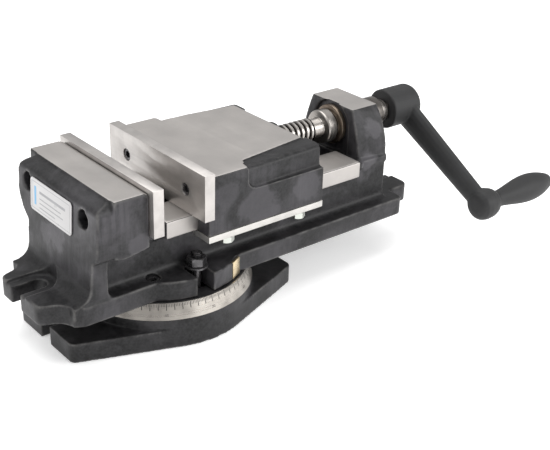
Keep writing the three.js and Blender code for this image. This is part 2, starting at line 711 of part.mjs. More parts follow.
function leadScrew() {
  const collarRearX = collarFrontX + collarLength;
  const chamfer = 1.5;
  const turned = turnedX([
    [screwFrontX, 0], [screwFrontX, screwRadius - 2], [screwFrontX + 2, screwRadius], [threadRearX, screwRadius],
    [threadRearX + 2, screwRadius - 2], [collarFrontX, screwRadius - 2], [collarFrontX, collarRadius - chamfer],
    [collarFrontX + chamfer, collarRadius], [collarRearX, collarRadius], [collarRearX, journalRadius],
    [rearBlockRearX + 0.1, journalRadius], [rearBlockRearX + 0.1, shaftRadius], [hubFrontX - 1, shaftRadius],
    [hubFrontX - 1, 0],
  ], 0, axisZ, 32);
  const half = driveSquare / 2;
  const square = block(hubFrontX - 2, hubRearX - 2, -half, half, axisZ - half, axisZ + half);
  return join(turned, square);
}

function screwBush() {
  const bore = journalRadius + clearance;
  const flangeRearX = bushFrontX + bushFlangeThickness;
  return turnedX([
    [bushFrontX, bore], [bushFrontX, bushFlangeRadius], [flangeRearX, bushFlangeRadius], [flangeRearX, bushRadius],
    [rearBlockRearX - clearance, bushRadius], [rearBlockRearX - clearance, bore], [bushFrontX, bore],
  ], 0, axisZ, 32);
}

const stopScrewAngle = THREE.MathUtils.degToRad(12);
const stopScrewRadius = 2.5;
const stopScrewX = stopRingFrontX + stopRingLength * 0.5;

// A rod across the stop ring, from the inner to the outer radius, at the set screw's angle.
function stopRod(radius, inner, outer, segments) {
  const geometry = new THREE.CylinderGeometry(radius, radius, outer - inner, segments);
  geometry.translate(0, (inner + outer) / 2, 0);
  geometry.rotateX(Math.PI + stopScrewAngle - Math.PI / 2);
  geometry.rotateX(Math.PI);
  geometry.translate(stopScrewX, 0, axisZ);
  return solidOf(geometry);
}

function stopRing() {
  const bore = shaftRadius + clearance;
  const ring = turnedX([
    [stopRingFrontX, bore], [stopRingFrontX, stopRingRadius], [stopRingRearX - 1, stopRingRadius],
    [stopRingRearX, stopRingRadius - 1], [stopRingRearX, bore], [stopRingFrontX, bore],
  ], 0, axisZ, 32);
  return cut(ring, stopRod(stopScrewRadius + clearance, 0, stopRingRadius + 2, 16));
}

function stopRingScrew() {
  return stopRod(stopScrewRadius, shaftRadius + clearance, stopRingRadius - 0.6, 16);
}

// ---- Crank ----

const throwAngle = THREE.MathUtils.degToRad(crankAngle);
const gripY = -crankThrow * Math.cos(throwAngle);
const gripZ = axisZ - crankThrow * Math.sin(throwAngle);

// Oval arm from the hub out to the boss. It narrows and leans outwards along the way.
function crankArm() {
  const stations = 6;
  const around = 16;
  const rings = [];
  for (let i = 0; i < stations; i += 1) {
    const t = i / (stations - 1);
    const reach = THREE.MathUtils.lerp(9.8, crankThrow - 6.5, t);
    const middleX = THREE.MathUtils.lerp(hubRearX - 10, crankBossFrontX + crankBossRadius * 0.6, t);
    const halfWide = THREE.MathUtils.lerp(armHubWidth, armBossWidth, t) / 2;
    const ring = [];
    for (let j = 0; j < around; j += 1) {
      const a = (j / around) * 2 * Math.PI;
      const across = halfWide * Math.cos(a);
      ring.push([
        middleX + (armThickness / 2) * Math.sin(a),
        -reach * Math.cos(throwAngle) - across * Math.sin(throwAngle),
        axisZ - reach * Math.sin(throwAngle) + across * Math.cos(throwAngle),
      ]);
    }
    rings.push(ring);
  }
  return loft(rings);
}

function crankHandle() {
  const hub = turnedX([
    [hubFrontX, 0], [hubFrontX, hubRadius - 1], [hubFrontX + 1, hubRadius], [hubRearX - 4, hubRadius],
    [hubRearX - 1, hubRadius - 1.5], [hubRearX, hubRadius - 5], [hubRearX, 0],
  ], 0, axisZ, 32);
  const profile = [
    [0, 0], [0, 0.45], [0.04, 0.73], [0.16, 0.93], [0.35, 1], [0.6, 0.98], [0.8, 0.88], [0.93, 0.74], [1, 0.62], [1, 0],
  ].map(([t, r]) => [crankBossFrontX + t * crankBossLength, r * crankBossRadius]);
  const boss = turnedX(profile, gripY, gripZ, 28);
  const half = driveSquare / 2 + clearance;
  const socket = block(hubFrontX - 1, hubRearX - 2 + clearance, -half, half, axisZ - half, axisZ + half);
  const shankBore = rodX(gripShankRadius + clearance, gripY, gripZ, crankBossFrontX + 6, crankBossRearX + 1);
  return cut(join(hub, crankArm(), boss), socket, shankBore);
}

// Fish-belly handle with a plain shank that sits in the boss.
function crankGrip() {
  const front = crankBossRearX + clearance;
  const outline = [[crankBossFrontX + 6 + clearance, 0], [crankBossFrontX + 6 + clearance, gripShankRadius]];
  outline.push([front, gripShankRadius], [front, crankBossRadius * 0.58]);
  const steps = 14;
  for (let i = 1; i < steps; i += 1) {
    const t = i / steps;
    const belly = Math.sin(Math.PI * Math.pow(t, 1.4)) * (gripBellyRadius - gripNeckRadius * 0.85);
    const neck = THREE.MathUtils.lerp(gripNeckRadius, gripNeckRadius * 0.75, t);
    outline.push([front + t * (gripLength - 1), neck + belly]);
  }
  outline.push([front + gripLength - 0.5, gripNeckRadius * 0.45], [front + gripLength, 0]);
  return turnedX(outline, gripY, gripZ, 28);
}

// ---- Clamp bolts and small pieces ----

function clampBolt() {
  const half = clampHeadSize / 2;
  const bottom = clampCavityTop - clearance - clampHeadHeight;
  const head = block(-half, half, -half, half, bottom, bottom + clampHeadHeight);
  const top = flangeTop + clampWasherThickness + clampNutHeight + 4;
  return join(head, rodZ(clampBoltRadius, 0, 0, bottom + 1, top, 20));
}

function clampWasher() {
  const bottom = flangeTop + clearance;
  const washer = rodZ(clampWasherRadius, 0, 0, bottom, bottom + clampWasherThickness, 28);
  return cut(washer, rodZ(clampBoltRadius + clearance, 0, 0, bottom - 1, bottom + clampWasherThickness + 1, 20));
}

function clampNut() {
  const bottom = flangeTop + clampWasherThickness + 2 * clearance;
  const corner = clampNutAcrossFlats / Math.sqrt(3);
  const hex = rodZ(corner, 0, 0, bottom, bottom + clampNutHeight, 6);
  return cut(hex, rodZ(clampBoltRadius + clearance, 0, 0, bottom - 1, bottom + clampNutHeight + 1, 20));
}

function flangeScrew() {
  const top = flangeTop - 1;
  const body = rodZ(flangeScrewRadius, 0, 0, flangeTop - 9 + clearance, top, 20);
  return cut(body, rodZ(5 / Math.sqrt(3), 0, 0, top - 4, top + 1, 6));
}

function indexPointer() {
  return indexBox(indexWidth, 0, indexThickness, flangeBottom + 0.5, flangeTop - 0.5);
}

const namePlateWidth = 57.5;
const namePlateHeight = 24.6;
const namePlateThickness = 0.8;
const namePlateY = 2.9;
const columnLean = Math.atan((columnRearX - columnFootX) / (columnTop - 4 - flangeTop - columnFillet));

function namePlate() {
  const r = 3;
  const w = namePlateWidth / 2 - r;
  const h = namePlateHeight / 2 - r;
  const outline = stretchedOutline([[-w, -h, r], [w, -h, r], [w, h, r], [-w, h, r]], 16);
  return prismX(outline, 0, namePlateThickness);
}

// ---- Assembly ----

function piece(name, solid, finish) {
  const mesh = new THREE.Mesh(geometryOf(solid), new THREE.MeshStandardMaterial(finish));
  mesh.name = name;
  return mesh;
}

function placed(mesh, x, y, z, turnX = 0, turnY = 0, turnZ = 0) {
  mesh.position.set(x, y, z);
  mesh.rotation.set(turnX, turnY, turnZ);
  return mesh;
}

const vise = new THREE.Group();

vise.add(piece('swivel_base', swivelBase(), ironPaint));
vise.add(piece('pivot_pin', pivotPin(), darkSteel));

const turning = new THREE.Group();
turning.add(piece('vise_body', viseBody(), ironPaint));
turning.add(piece('fixed_jaw_plate', fixedJawPlate(), groundSteel));
turning.add(piece('index_pointer', indexPointer(), bronze));
turning.add(placed(piece('flange_set_screw', flangeScrew(), darkSteel), flangeScrewX, flangeScrewY, 0));
const plateZ = jawScrewZ - 5.3;
const leanAtPlate = columnRearX - (columnTop - 4 - plateZ) * Math.tan(columnLean);
turning.add(placed(piece('name_plate', namePlate(), plateWhite),
  leanAtPlate - (namePlateThickness + clearance) / Math.cos(columnLean), namePlateY, plateZ, 0, columnLean, 0));
turning.add(piece('screw_bush', screwBush(), bronze));

const hands = [['near', -1], ['far', 1]];
for (const [label, hand] of hands) {
  const y = hand * clampCircleRadius;
  turning.add(placed(piece(`clamp_bolt_${label}`, clampBolt(), darkSteel), 0, y, 0));
  turning.add(placed(piece(`clamp_washer_${label}`, clampWasher(), darkSteel), 0, y, 0));
  turning.add(placed(piece(`clamp_nut_${label}`, clampNut(), darkSteel), 0, y, 0));
  const screw = capScrew(plateScrewHead, rearScrewHeadLength, rearScrewRadius, fixedPlateRearX + 5 - rearHeadX, 6);
  turning.add(placed(piece(`fixed_jaw_screw_${label}`, screw, darkSteel),
    rearHeadX - rearScrewHeadLength, hand * jawScrewSpacing / 2, jawScrewZ));
}
vise.add(turning);

const sliding = new THREE.Group();
sliding.add(piece('movable_jaw', movableJaw(), ironPaint));
sliding.add(piece('movable_jaw_plate', movableJawPlate(), groundSteel));
sliding.add(piece('lead_nut', leadNut(), bronze));
for (const [label, hand] of hands) {
  const screw = capScrew(frontScrewHead, frontScrewHeadLength, frontScrewRadius, 8.5, 5);
  sliding.add(placed(piece(`movable_jaw_screw_${label}`, screw, darkSteel),
    movableFaceX + 0.8, hand * jawScrewSpacing / 2, jawScrewZ));
  sliding.add(piece(`keeper_strip_${label}`, keeperStrip(hand), groundSteel));
  keeperBoltPlaces().forEach((x, i) => {
    const bolt = hexBolt(keeperBoltAcrossFlats, keeperBoltHeadHeight, keeperBoltRadius, keeperThickness + 10);
    sliding.add(placed(piece(`keeper_bolt_${label}_${i + 1}`, bolt, brightZinc),
      x, hand * keeperBoltY, keeperBottom - clearance));
  });
}
turning.add(sliding);

const spinning = new THREE.Group();
spinning.add(piece('lead_screw', leadScrew(), groundSteel));
spinning.add(piece('stop_ring', stopRing(), groundSteel));
spinning.add(piece('stop_ring_screw', stopRingScrew(), darkSteel));
spinning.add(piece('crank_handle', crankHandle(), crankIron));
spinning.add(piece('crank_grip', crankGrip(), crankIron));
turning.add(spinning);

export default vise;
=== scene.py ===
# Looks for a machine vise on a graduated swivel base. Metres, in the CAD model's own frame.
import math

import bmesh
import bpy
from mathutils import Matrix, Vector


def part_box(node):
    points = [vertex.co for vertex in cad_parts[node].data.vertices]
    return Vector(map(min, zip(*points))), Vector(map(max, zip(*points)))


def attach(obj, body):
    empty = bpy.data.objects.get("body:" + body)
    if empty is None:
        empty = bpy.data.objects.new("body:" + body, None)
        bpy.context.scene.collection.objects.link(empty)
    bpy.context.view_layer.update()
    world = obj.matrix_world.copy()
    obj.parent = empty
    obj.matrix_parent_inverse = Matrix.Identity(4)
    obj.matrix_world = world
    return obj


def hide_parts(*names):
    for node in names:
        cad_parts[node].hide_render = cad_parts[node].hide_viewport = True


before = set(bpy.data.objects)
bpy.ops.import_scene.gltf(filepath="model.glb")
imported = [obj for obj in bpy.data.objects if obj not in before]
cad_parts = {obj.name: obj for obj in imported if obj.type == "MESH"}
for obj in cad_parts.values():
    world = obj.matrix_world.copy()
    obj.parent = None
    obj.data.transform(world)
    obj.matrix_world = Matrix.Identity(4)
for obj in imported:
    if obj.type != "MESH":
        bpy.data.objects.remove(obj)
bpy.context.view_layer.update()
mm = 0.001
print("frame loaded:", len(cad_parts), "nodes")


def corners(node):
    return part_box(node)


def middle(node):
    low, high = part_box(node)
    return (low + high) / 2


# Shader helpers.

def feed(tree, made, pairs):
    # a socket is linked; anything else becomes the input's own value
    for key, value in pairs:
        if isinstance(value, bpy.types.NodeSocket):
            tree.links.new(value, made.inputs[key])
        else:
            made.inputs[key].default_value = value
    return made


def addNode(tree, kind, inputs=None, **props):
    made = tree.nodes.new(kind)
    for key, value in props.items():
        setattr(made, key, value)
    return feed(tree, made, (inputs or {}).items())


def mathNode(tree, operation, a, b=0.0, c=0.0, clamp=False):
    made = tree.nodes.new("ShaderNodeMath")
    made.operation = operation
    made.use_clamp = clamp
    return feed(tree, made, enumerate((a, b, c))).outputs[0]


def times(tree, a, b):
    return mathNode(tree, "MULTIPLY", a, b)


def noiseOf(tree, vector, scale, detail, **more):
    return addNode(tree, "ShaderNodeTexNoise",
                   {"Vector": vector, "Scale": scale, "Detail": detail, **more}).outputs["Fac"]


def remap(tree, value, low, high, toLow=0.0, toHigh=1.0):
    made = addNode(tree, "ShaderNodeMapRange", clamp=True)
    tree.links.new(value, made.inputs["Value"])
    for key, number in (("From Min", low), ("From Max", high), ("To Min", toLow), ("To Max", toHigh)):
        made.inputs[key].default_value = number
    return made.outputs["Result"]


def mixColour(tree, factor, a, b):
    made = tree.nodes.new("ShaderNodeMix")
    made.data_type = "RGBA"
    return feed(tree, made, ((0, factor), (6, a), (7, b))).outputs[2]


def newGroup(name, inputs, outputs):
    tree = bpy.data.node_groups.new(name, "ShaderNodeTree")
    for label, kind, value in inputs:
        socket = tree.interface.new_socket(name=label, in_out="INPUT", socket_type=kind)
        if value is not None:
            socket.default_value = value
    for label, kind in outputs:
        tree.interface.new_socket(name=label, in_out="OUTPUT", socket_type=kind)
    return tree, tree.nodes.new("NodeGroupInput"), tree.nodes.new("NodeGroupOutput")


def useGroup(tree, group, **values):
    made = tree.nodes.new("ShaderNodeGroup")
    made.node_tree = group
    return feed(tree, made, ((key.replace("_", " "), value) for key, value in values.items()))


def makeCastSkin():
    # sand-cast surface: fine grit, soft hollows and large smears
    tree, given, out = newGroup(
        "castSkin",
        [("Vector", "NodeSocketVector", None), ("Grit Scale", "NodeSocketFloat", 560.0),
         ("Hollow Scale", "NodeSocketFloat", 190.0), ("Smear Scale", "NodeSocketFloat", 22.0)],
        [("Height", "NodeSocketFloat"), ("Mottle", "NodeSocketFloat"), ("Smear", "NodeSocketFloat")])
    where = given.outputs["Vector"]
    grit = noiseOf(tree, where, given.outputs["Grit Scale"], 4.0)
    hollow = noiseOf(tree, where, given.outputs["Hollow Scale"], 3.0)
    smear = noiseOf(tree, where, given.outputs["Smear Scale"], 5.0, Roughness=0.62, Distortion=1.4)
    height = mathNode(tree, "MULTIPLY_ADD", hollow, 0.8, times(tree, grit, 0.45))
    tree.links.new(height, out.inputs["Height"])
    grain = mathNode(tree, "MULTIPLY_ADD", grit, 0.55, times(tree, hollow, 0.45))
    tree.links.new(remap(tree, grain, 0.38, 0.62), out.inputs["Mottle"])
    tree.links.new(remap(tree, smear, 0.52, 0.72), out.inputs["Smear"])
    return tree


def makeWallStreaks():
    # upright rubbed streaks, only on walls, fading in and out over the surface
    tree, given, out = newGroup(
        "wallStreaks",
        [("Vector", "NodeSocketVector", None), ("Across", "NodeSocketFloat", 240.0),
         ("Along", "NodeSocketFloat", 16.0), ("Patch Scale", "NodeSocketFloat", 20.0)],
        [("Streak", "NodeSocketFloat"), ("Patch", "NodeSocketFloat")])
    scale = addNode(tree, "ShaderNodeCombineXYZ", {
        "X": given.outputs["Across"], "Y": given.outputs["Across"], "Z": given.outputs["Along"]})
    squeezed = addNode(tree, "ShaderNodeVectorMath", {0: given.outputs["Vector"], 1: scale.outputs["Vector"]},
                       operation="MULTIPLY")
    fine = noiseOf(tree, squeezed.outputs["Vector"], 1.0, 4.0, Roughness=0.6)
    patch = noiseOf(tree, given.outputs["Vector"], given.outputs["Patch Scale"], 3.0, Distortion=0.8)
    shape = tree.nodes.new("ShaderNodeNewGeometry")
    split = addNode(tree, "ShaderNodeSeparateXYZ", {"Vector": shape.outputs["Normal"]})
    upright = mathNode(tree, "SUBTRACT", 1.0, mathNode(tree, "ABSOLUTE", split.outputs["Z"]))
    upright = remap(tree, upright, 0.55, 0.9)
    patched = times(tree, remap(tree, patch, 0.42, 0.66), upright)
    tree.links.new(times(tree, remap(tree, fine, 0.36, 0.7), patched),
                   out.inputs["Streak"])
    tree.links.new(patched, out.inputs["Patch"])
    return tree


def makeScuffSpot():
    # one rubbed patch with a ragged outline
    tree, given, out = newGroup(
        "scuffSpot",
        [("Vector", "NodeSocketVector", None), ("Centre", "NodeSocketVector", None),
         ("Radius", "NodeSocketFloat", 0.015)],
        [("Mask", "NodeSocketFloat")])
    away = addNode(tree, "ShaderNodeVectorMath", {0: given.outputs["Vector"], 1: given.outputs["Centre"]},
                   operation="DISTANCE").outputs["Value"]
    noise = noiseOf(tree, given.outputs["Vector"], 95.0, 5.0, Roughness=0.6)
    ragged = mathNode(tree, "MULTIPLY_ADD", noise, 1.5, -0.75)
    reach = mathNode(tree, "ADD", mathNode(tree, "DIVIDE", away, given.outputs["Radius"]), ragged)
    tree.links.new(remap(tree, reach, 0.75, 1.05, 1.0, 0.0), out.inputs["Mask"])
    return tree


def makeEdgeWear():
    # outer edges, broken up so that they don't run evenly: worn and rubbed paint on the castings and crank, and
    # on bare steel partly wear and partly a painted edge highlight
    tree, given, out = newGroup(
        "edgeWearAndSheen",
        [("Vector", "NodeSocketVector", None), ("Start", "NodeSocketFloat", 0.507),
         ("Full", "NodeSocketFloat", 0.54), ("Breakup Scale", "NodeSocketFloat", 90.0)],
        [("Wear And Sheen", "NodeSocketFloat")])
    shape = tree.nodes.new("ShaderNodeNewGeometry")
    span = mathNode(tree, "SUBTRACT", given.outputs["Full"], given.outputs["Start"])
    over = mathNode(tree, "SUBTRACT", shape.outputs["Pointiness"], given.outputs["Start"])
    edge = mathNode(tree, "DIVIDE", over, span, clamp=True)
    noise = noiseOf(tree, given.outputs["Vector"], given.outputs["Breakup Scale"], 5.0)
    broken = remap(tree, noise, 0.35, 0.62)
    tree.links.new(times(tree, edge, broken), out.inputs["Wear And Sheen"])
    return tree


def makeDust():
    # settled dust and oil film on faces that look up
    tree, given, out = newGroup(
        "dustFilm",
        [("Vector", "NodeSocketVector", None), ("Scale", "NodeSocketFloat", 60.0),
         ("Up Start", "NodeSocketFloat", 0.3)],
        [("Dust", "NodeSocketFloat")])
    shape = tree.nodes.new("ShaderNodeNewGeometry")
    split = addNode(tree, "ShaderNodeSeparateXYZ", {"Vector": shape.outputs["Normal"]})
    up = mathNode(tree, "SUBTRACT", split.outputs["Z"], given.outputs["Up Start"], clamp=True)
    noise = noiseOf(tree, given.outputs["Vector"], given.outputs["Scale"], 6.0)
    tree.links.new(times(tree, up, remap(tree, noise, 0.4, 0.7)), out.inputs["Dust"])
    return tree


def makeGrindLines():
    # fine parallel scratches: the vector is squeezed along the grinding direction before it comes in
    tree, given, out = newGroup(
        "grindLines",
        [("Vector", "NodeSocketVector", None), ("Scale", "NodeSocketFloat", 1.0)],
        [("Height", "NodeSocketFloat"), ("Tone", "NodeSocketFloat"), ("Cloud", "NodeSocketFloat")])
    fine = noiseOf(tree, given.outputs["Vector"], given.outputs["Scale"], 3.0)
    coarse = noiseOf(tree, given.outputs["Vector"], times(tree, given.outputs["Scale"], 0.2), 2.0)
    place = tree.nodes.new("ShaderNodeTexCoord")
    cloud = noiseOf(tree, place.outputs["Object"], 28.0, 4.0)
    tree.links.new(mathNode(tree, "ADD", fine, coarse), out.inputs["Height"])
    tree.links.new(remap(tree, coarse, 0.3, 0.7), out.inputs["Tone"])
    tree.links.new(remap(tree, cloud, 0.35, 0.68), out.inputs["Cloud"])
    return tree


def makeGrooveDirt():
    # painted shade in the thread grooves: darker close to the axis of a screw that lies along X
    tree, given, out = newGroup(
        "grooveShade",
        [("Vector", "NodeSocketVector", None), ("Height", "NodeSocketFloat", 0.1),
         ("Unshaded", "NodeSocketFloat", 0.0097), ("Fully Shaded", "NodeSocketFloat", 0.0085)],
        [("Painted Shade", "NodeSocketFloat")])
    split = addNode(tree, "ShaderNodeSeparateXYZ", {"Vector": given.outputs["Vector"]})
    rise = mathNode(tree, "SUBTRACT", split.outputs["Z"], given.outputs["Height"])
    reach = mathNode(tree, "SQRT", mathNode(tree, "MULTIPLY_ADD", rise, rise,
                                            times(tree, split.outputs["Y"], split.outputs["Y"])))
    depth = mathNode(tree, "SUBTRACT", given.outputs["Unshaded"], reach)
    span = mathNode(tree, "SUBTRACT", given.outputs["Unshaded"], given.outputs["Fully Shaded"])
    tree.links.new(mathNode(tree, "DIVIDE", depth, span, clamp=True), out.inputs["Painted Shade"])
    return tree


def makeFaceMask():
    # 1 on a flat face that looks along Axis at a given level, 0 elsewhere
    tree, given, out = newGroup(
        "levelFace",
        [("Position", "NodeSocketVector", None), ("Normal", "NodeSocketVector", None),
         ("Axis", "NodeSocketVector", None), ("Level", "NodeSocketFloat", 0.0),
         ("Depth", "NodeSocketFloat", 0.0006), ("Facing", "NodeSocketFloat", 0.8)],
        [("Mask", "NodeSocketFloat")])
    along = addNode(tree, "ShaderNodeVectorMath", {0: given.outputs["Position"], 1: given.outputs["Axis"]},
                    operation="DOT_PRODUCT").outputs["Value"]
    facing = addNode(tree, "ShaderNodeVectorMath", {0: given.outputs["Normal"], 1: given.outputs["Axis"]},
                     operation="DOT_PRODUCT").outputs["Value"]
    off = mathNode(tree, "ABSOLUTE", mathNode(tree, "SUBTRACT", along, given.outputs["Level"]))
    near = mathNode(tree, "LESS_THAN", off, given.outputs["Depth"])
    flat = mathNode(tree, "SUBTRACT", facing, given.outputs["Facing"])
    flat = mathNode(tree, "MULTIPLY", flat, 14.0, clamp=True)
    tree.links.new(times(tree, near, flat), out.inputs["Mask"])
    return tree


castSkin = makeCastSkin()
wallStreaks = makeWallStreaks()
scuffSpot = makeScuffSpot()
edgeWearAndSheen = makeEdgeWear()
dustFilm = makeDust()
grindLines = makeGrindLines()
grooveShade = makeGrooveDirt()
levelFace = makeFaceMask()


def newMaterial(name, rough, metal, gloss=0.5):
    made = bpy.data.materials.new(name)
    made.use_nodes = True
    shader = made.node_tree.nodes["Principled BSDF"]
    shader.inputs["Specular IOR Level"].default_value = gloss
    shader.inputs["Roughness"].default_value = rough
    shader.inputs["Metallic"].default_value = metal
    return made, made.node_tree, shader


def bumpFrom(tree, height, strength, distance):
    return addNode(tree, "ShaderNodeBump",
                   {"Height": height, "Strength": strength, "Distance": distance}).outputs["Normal"]


def rgb(colour, alpha=1.0):
    return (*colour, alpha)


castLook = {
    "enamel": (0.006, 0.0058, 0.0062), "mottled": (0.0215, 0.021, 0.022), "smear": (0.082, 0.078, 0.086),
    "worn": (0.16, 0.155, 0.15), "rough": 0.46, "gloss": 0.27, "gritDepth": 0.00022, "smearAmount": 0.4,
    "streakAmount": 0.75, "hazeAmount": 0.26, "dustAmount": 0.12, "wearAmount": 0.5, "bump": 0.7,
}
groundLook = {"steel": (0.47, 0.445, 0.425), "dull": (0.39, 0.37, 0.355), "rough": 0.4, "metal": 0.8}


def castMaterial(name, faces=(), smear=1.0, streaksAbove=0.0, spots=()):
    # painted casting; faces is a list of (axis, level, depth, low corner, high corner) left bright by
    # machining, and spots is a list of (centre, radius, strength) for rubbed patches
    made, tree, shader = newMaterial(name, castLook["rough"], 0.0, castLook["gloss"])
    place = tree.nodes.new("ShaderNodeTexCoord")
    where = place.outputs["Object"]
    skin = useGroup(tree, castSkin, Vector=where)
    edgeBrightening = useGroup(tree, edgeWearAndSheen, Vector=where)
    dust = useGroup(tree, dustFilm, Vector=where)
    colour = mixColour(tree, skin.outputs["Mottle"], rgb(castLook["enamel"]), rgb(castLook["mottled"]))
    smeared = times(tree, skin.outputs["Smear"], castLook["smearAmount"] * smear)
    colour = mixColour(tree, smeared, colour, rgb(castLook["smear"]))
    streaks = useGroup(tree, wallStreaks, Vector=where)
    split = addNode(tree, "ShaderNodeSeparateXYZ", {"Vector": where})
    raised = remap(tree, split.outputs["Z"], streaksAbove, streaksAbove + 0.01, 0.25, 1.0)
    streaked = times(tree, times(tree, streaks.outputs["Streak"], raised), castLook["streakAmount"] * smear)
    colour = mixColour(tree, streaked, colour, rgb(castLook["smear"]))
    for centre, radius, strength in spots:
        spot = useGroup(tree, scuffSpot, Vector=where, Centre=centre, Radius=radius)
        colour = mixColour(tree, times(tree, spot.outputs["Mask"], strength), colour,
                           rgb(castLook["smear"]))
    hazed = times(tree, streaks.outputs["Patch"], castLook["hazeAmount"] * smear)
    colour = mixColour(tree, hazed, colour, rgb(castLook["smear"]))
    dusty = times(tree, dust.outputs["Dust"], castLook["dustAmount"])
    colour = mixColour(tree, dusty, colour, rgb(castLook["smear"]))
    worn = times(tree, edgeBrightening.outputs["Wear And Sheen"], castLook["wearAmount"])
    colour = mixColour(tree, worn, colour, rgb(castLook["worn"]))
    rough = mathNode(tree, "MULTIPLY_ADD", skin.outputs["Mottle"], 0.12, castLook["rough"] - 0.06)
    rough = mathNode(tree, "MULTIPLY_ADD", smeared, -0.14, rough)
    rough = mathNode(tree, "MULTIPLY_ADD", streaks.outputs["Patch"], -0.08, rough)
    height = skin.outputs["Height"]
    if faces:
        mask = None
        for axis, level, depth, low, high in faces:
            one = useGroup(tree, levelFace, Position=where, Normal=place.outputs["Normal"],
                           Axis=axis, Level=level, Depth=depth).outputs["Mask"]
            for index, label in enumerate("XYZ"):
                if low[index] is not None:
                    one = times(tree, one,
                                   mathNode(tree, "GREATER_THAN", split.outputs[label], low[index]))
                if high[index] is not None:
                    one = times(tree, one,
                                   mathNode(tree, "LESS_THAN", split.outputs[label], high[index]))
            mask = one if mask is None else mathNode(tree, "MAXIMUM", mask, one)
        squeeze = addNode(tree, "ShaderNodeMapping", {"Vector": where, "Scale": (2600.0, 30.0, 2600.0)})
        lines = useGroup(tree, grindLines, Vector=squeeze.outputs["Vector"])
        steel = mixColour(tree, lines.outputs["Cloud"], rgb(groundLook["steel"]), rgb(groundLook["dull"]))
        colour = mixColour(tree, mask, colour, steel)
        steelRough = mathNode(tree, "MULTIPLY_ADD", lines.outputs["Tone"], 0.08, groundLook["rough"] - 0.04)
        mixRough = tree.nodes.new("ShaderNodeMix")
        for index, value in ((0, mask), (2, rough), (3, steelRough)):
            tree.links.new(value, mixRough.inputs[index])
        rough = mixRough.outputs[0]
        painted = mathNode(tree, "SUBTRACT", 1.0, mask)
        height = mathNode(tree, "MULTIPLY_ADD", lines.outputs["Height"],
                          times(tree, mask, 0.02),
                          times(tree, height, painted))
        tree.links.new(times(tree, mask, groundLook["metal"]), shader.inputs["Metallic"])
    tree.links.new(colour, shader.inputs["Base Color"])
    tree.links.new(rough, shader.inputs["Roughness"])
    tree.links.new(bumpFrom(tree, height, castLook["bump"], castLook["gritDepth"]), shader.inputs["Normal"])
    return made


def steelMaterial(name, colour, dull, rough, metal, lineScale, edgeBrightening=0.3, lineDepth=0.000004):
    # bare machined steel; lineScale is the scratch density along X, Y and Z
    made, tree, shader = newMaterial(name, rough, metal)
    place = tree.nodes.new("ShaderNodeTexCoord")
    squeeze = addNode(tree, "ShaderNodeMapping", {"Vector": place.outputs["Object"], "Scale": lineScale})
    lines = useGroup(tree, grindLines, Vector=squeeze.outputs["Vector"])
    edges = useGroup(tree, edgeWearAndSheen, Vector=place.outputs["Object"])
    base = mixColour(tree, lines.outputs["Cloud"], rgb(colour), rgb(dull))
    toned = mixColour(tree, times(tree, lines.outputs["Tone"], 0.3), base, rgb(dull))
    # painted edge highlight: bare steel edges are painted up to 1.4 times brighter, partly standing for wear
    lit = mixColour(tree, times(tree, edges.outputs["Wear And Sheen"], edgeBrightening), toned,
                    rgb([min(1.0, c * 1.4) for c in colour]))
    tree.links.new(lit, shader.inputs["Base Color"])
    tree.links.new(mathNode(tree, "MULTIPLY_ADD", lines.outputs["Tone"], 0.1, rough - 0.05),
                   shader.inputs["Roughness"])
    tree.links.new(bumpFrom(tree, lines.outputs["Height"], 0.5, lineDepth), shader.inputs["Normal"])
    return made


def threadMaterial():
    look = {"crest": (0.5, 0.475, 0.45), "root": (0.03, 0.027, 0.025), "rough": 0.3}
    made = steelMaterial("threadSteel", look["crest"], [c * 0.7 for c in look["crest"]], look["rough"], 0.92,
                         (900.0, 200.0, 200.0))
    tree = made.node_tree
    shader = tree.nodes["Principled BSDF"]
    place = tree.nodes.new("ShaderNodeTexCoord")
    # painted shade: the thread roots near the axis are darkened towards the root colour
    grooveShading = useGroup(tree, grooveShade, Vector=place.outputs["Object"], Height=middle("lead_screw").z)
    unshadedColour = shader.inputs["Base Color"].links[0].from_socket
    tree.links.new(mixColour(tree, grooveShading.outputs["Painted Shade"], unshadedColour, rgb(look["root"])), shader.inputs["Base Color"])
    return made


def crankMaterial():
    look = {"paint": (0.02, 0.02, 0.0205), "pale": (0.034, 0.034, 0.0345), "rough": 0.58, "depth": 0.00009}
    made, tree, shader = newMaterial("crankPaint", look["rough"], 0.0, 0.32)
    place = tree.nodes.new("ShaderNodeTexCoord")
    skin = useGroup(tree, castSkin, Vector=place.outputs["Object"], Grit_Scale=1500.0, Hollow_Scale=260.0,
                    Smear_Scale=30.0)
    edgeBrightening = useGroup(tree, edgeWearAndSheen, Vector=place.outputs["Object"], Start=0.53, Full=0.62)
    colour = mixColour(tree, skin.outputs["Mottle"], rgb(look["paint"]),
                       rgb([c * 1.3 for c in look["paint"]]))
    colour = mixColour(tree, times(tree, skin.outputs["Smear"], 0.35), colour, rgb(look["pale"]))
    colour = mixColour(tree, times(tree, edgeBrightening.outputs["Wear And Sheen"], 0.4), colour, rgb(look["pale"]))
    tree.links.new(colour, shader.inputs["Base Color"])
    tree.links.new(mathNode(tree, "MULTIPLY_ADD", skin.outputs["Mottle"], 0.1, look["rough"] - 0.05),
                   shader.inputs["Roughness"])
    tree.links.new(bumpFrom(tree, skin.outputs["Height"], 0.6, look["depth"]), shader.inputs["Normal"])
    return made


def plainMaterial(name, colour, rough, metal=0.0, mottle=0.08, scale=220.0):
    made, tree, shader = newMaterial(name, rough, metal)
    place = tree.nodes.new("ShaderNodeTexCoord")
    noise = noiseOf(tree, place.outputs["Object"], scale, 4.0)
    shade = mixColour(tree, noise, rgb(colour), rgb([c * (1 - mottle) for c in colour]))
    tree.links.new(shade, shader.inputs["Base Color"])
    tree.links.new(remap(tree, noise, 0.3, 0.7, rough - 0.04, rough + 0.05), shader.inputs["Roughness"])
    tree.links.new(bumpFrom(tree, noise, 0.25, 0.00002), shader.inputs["Normal"])
    return made


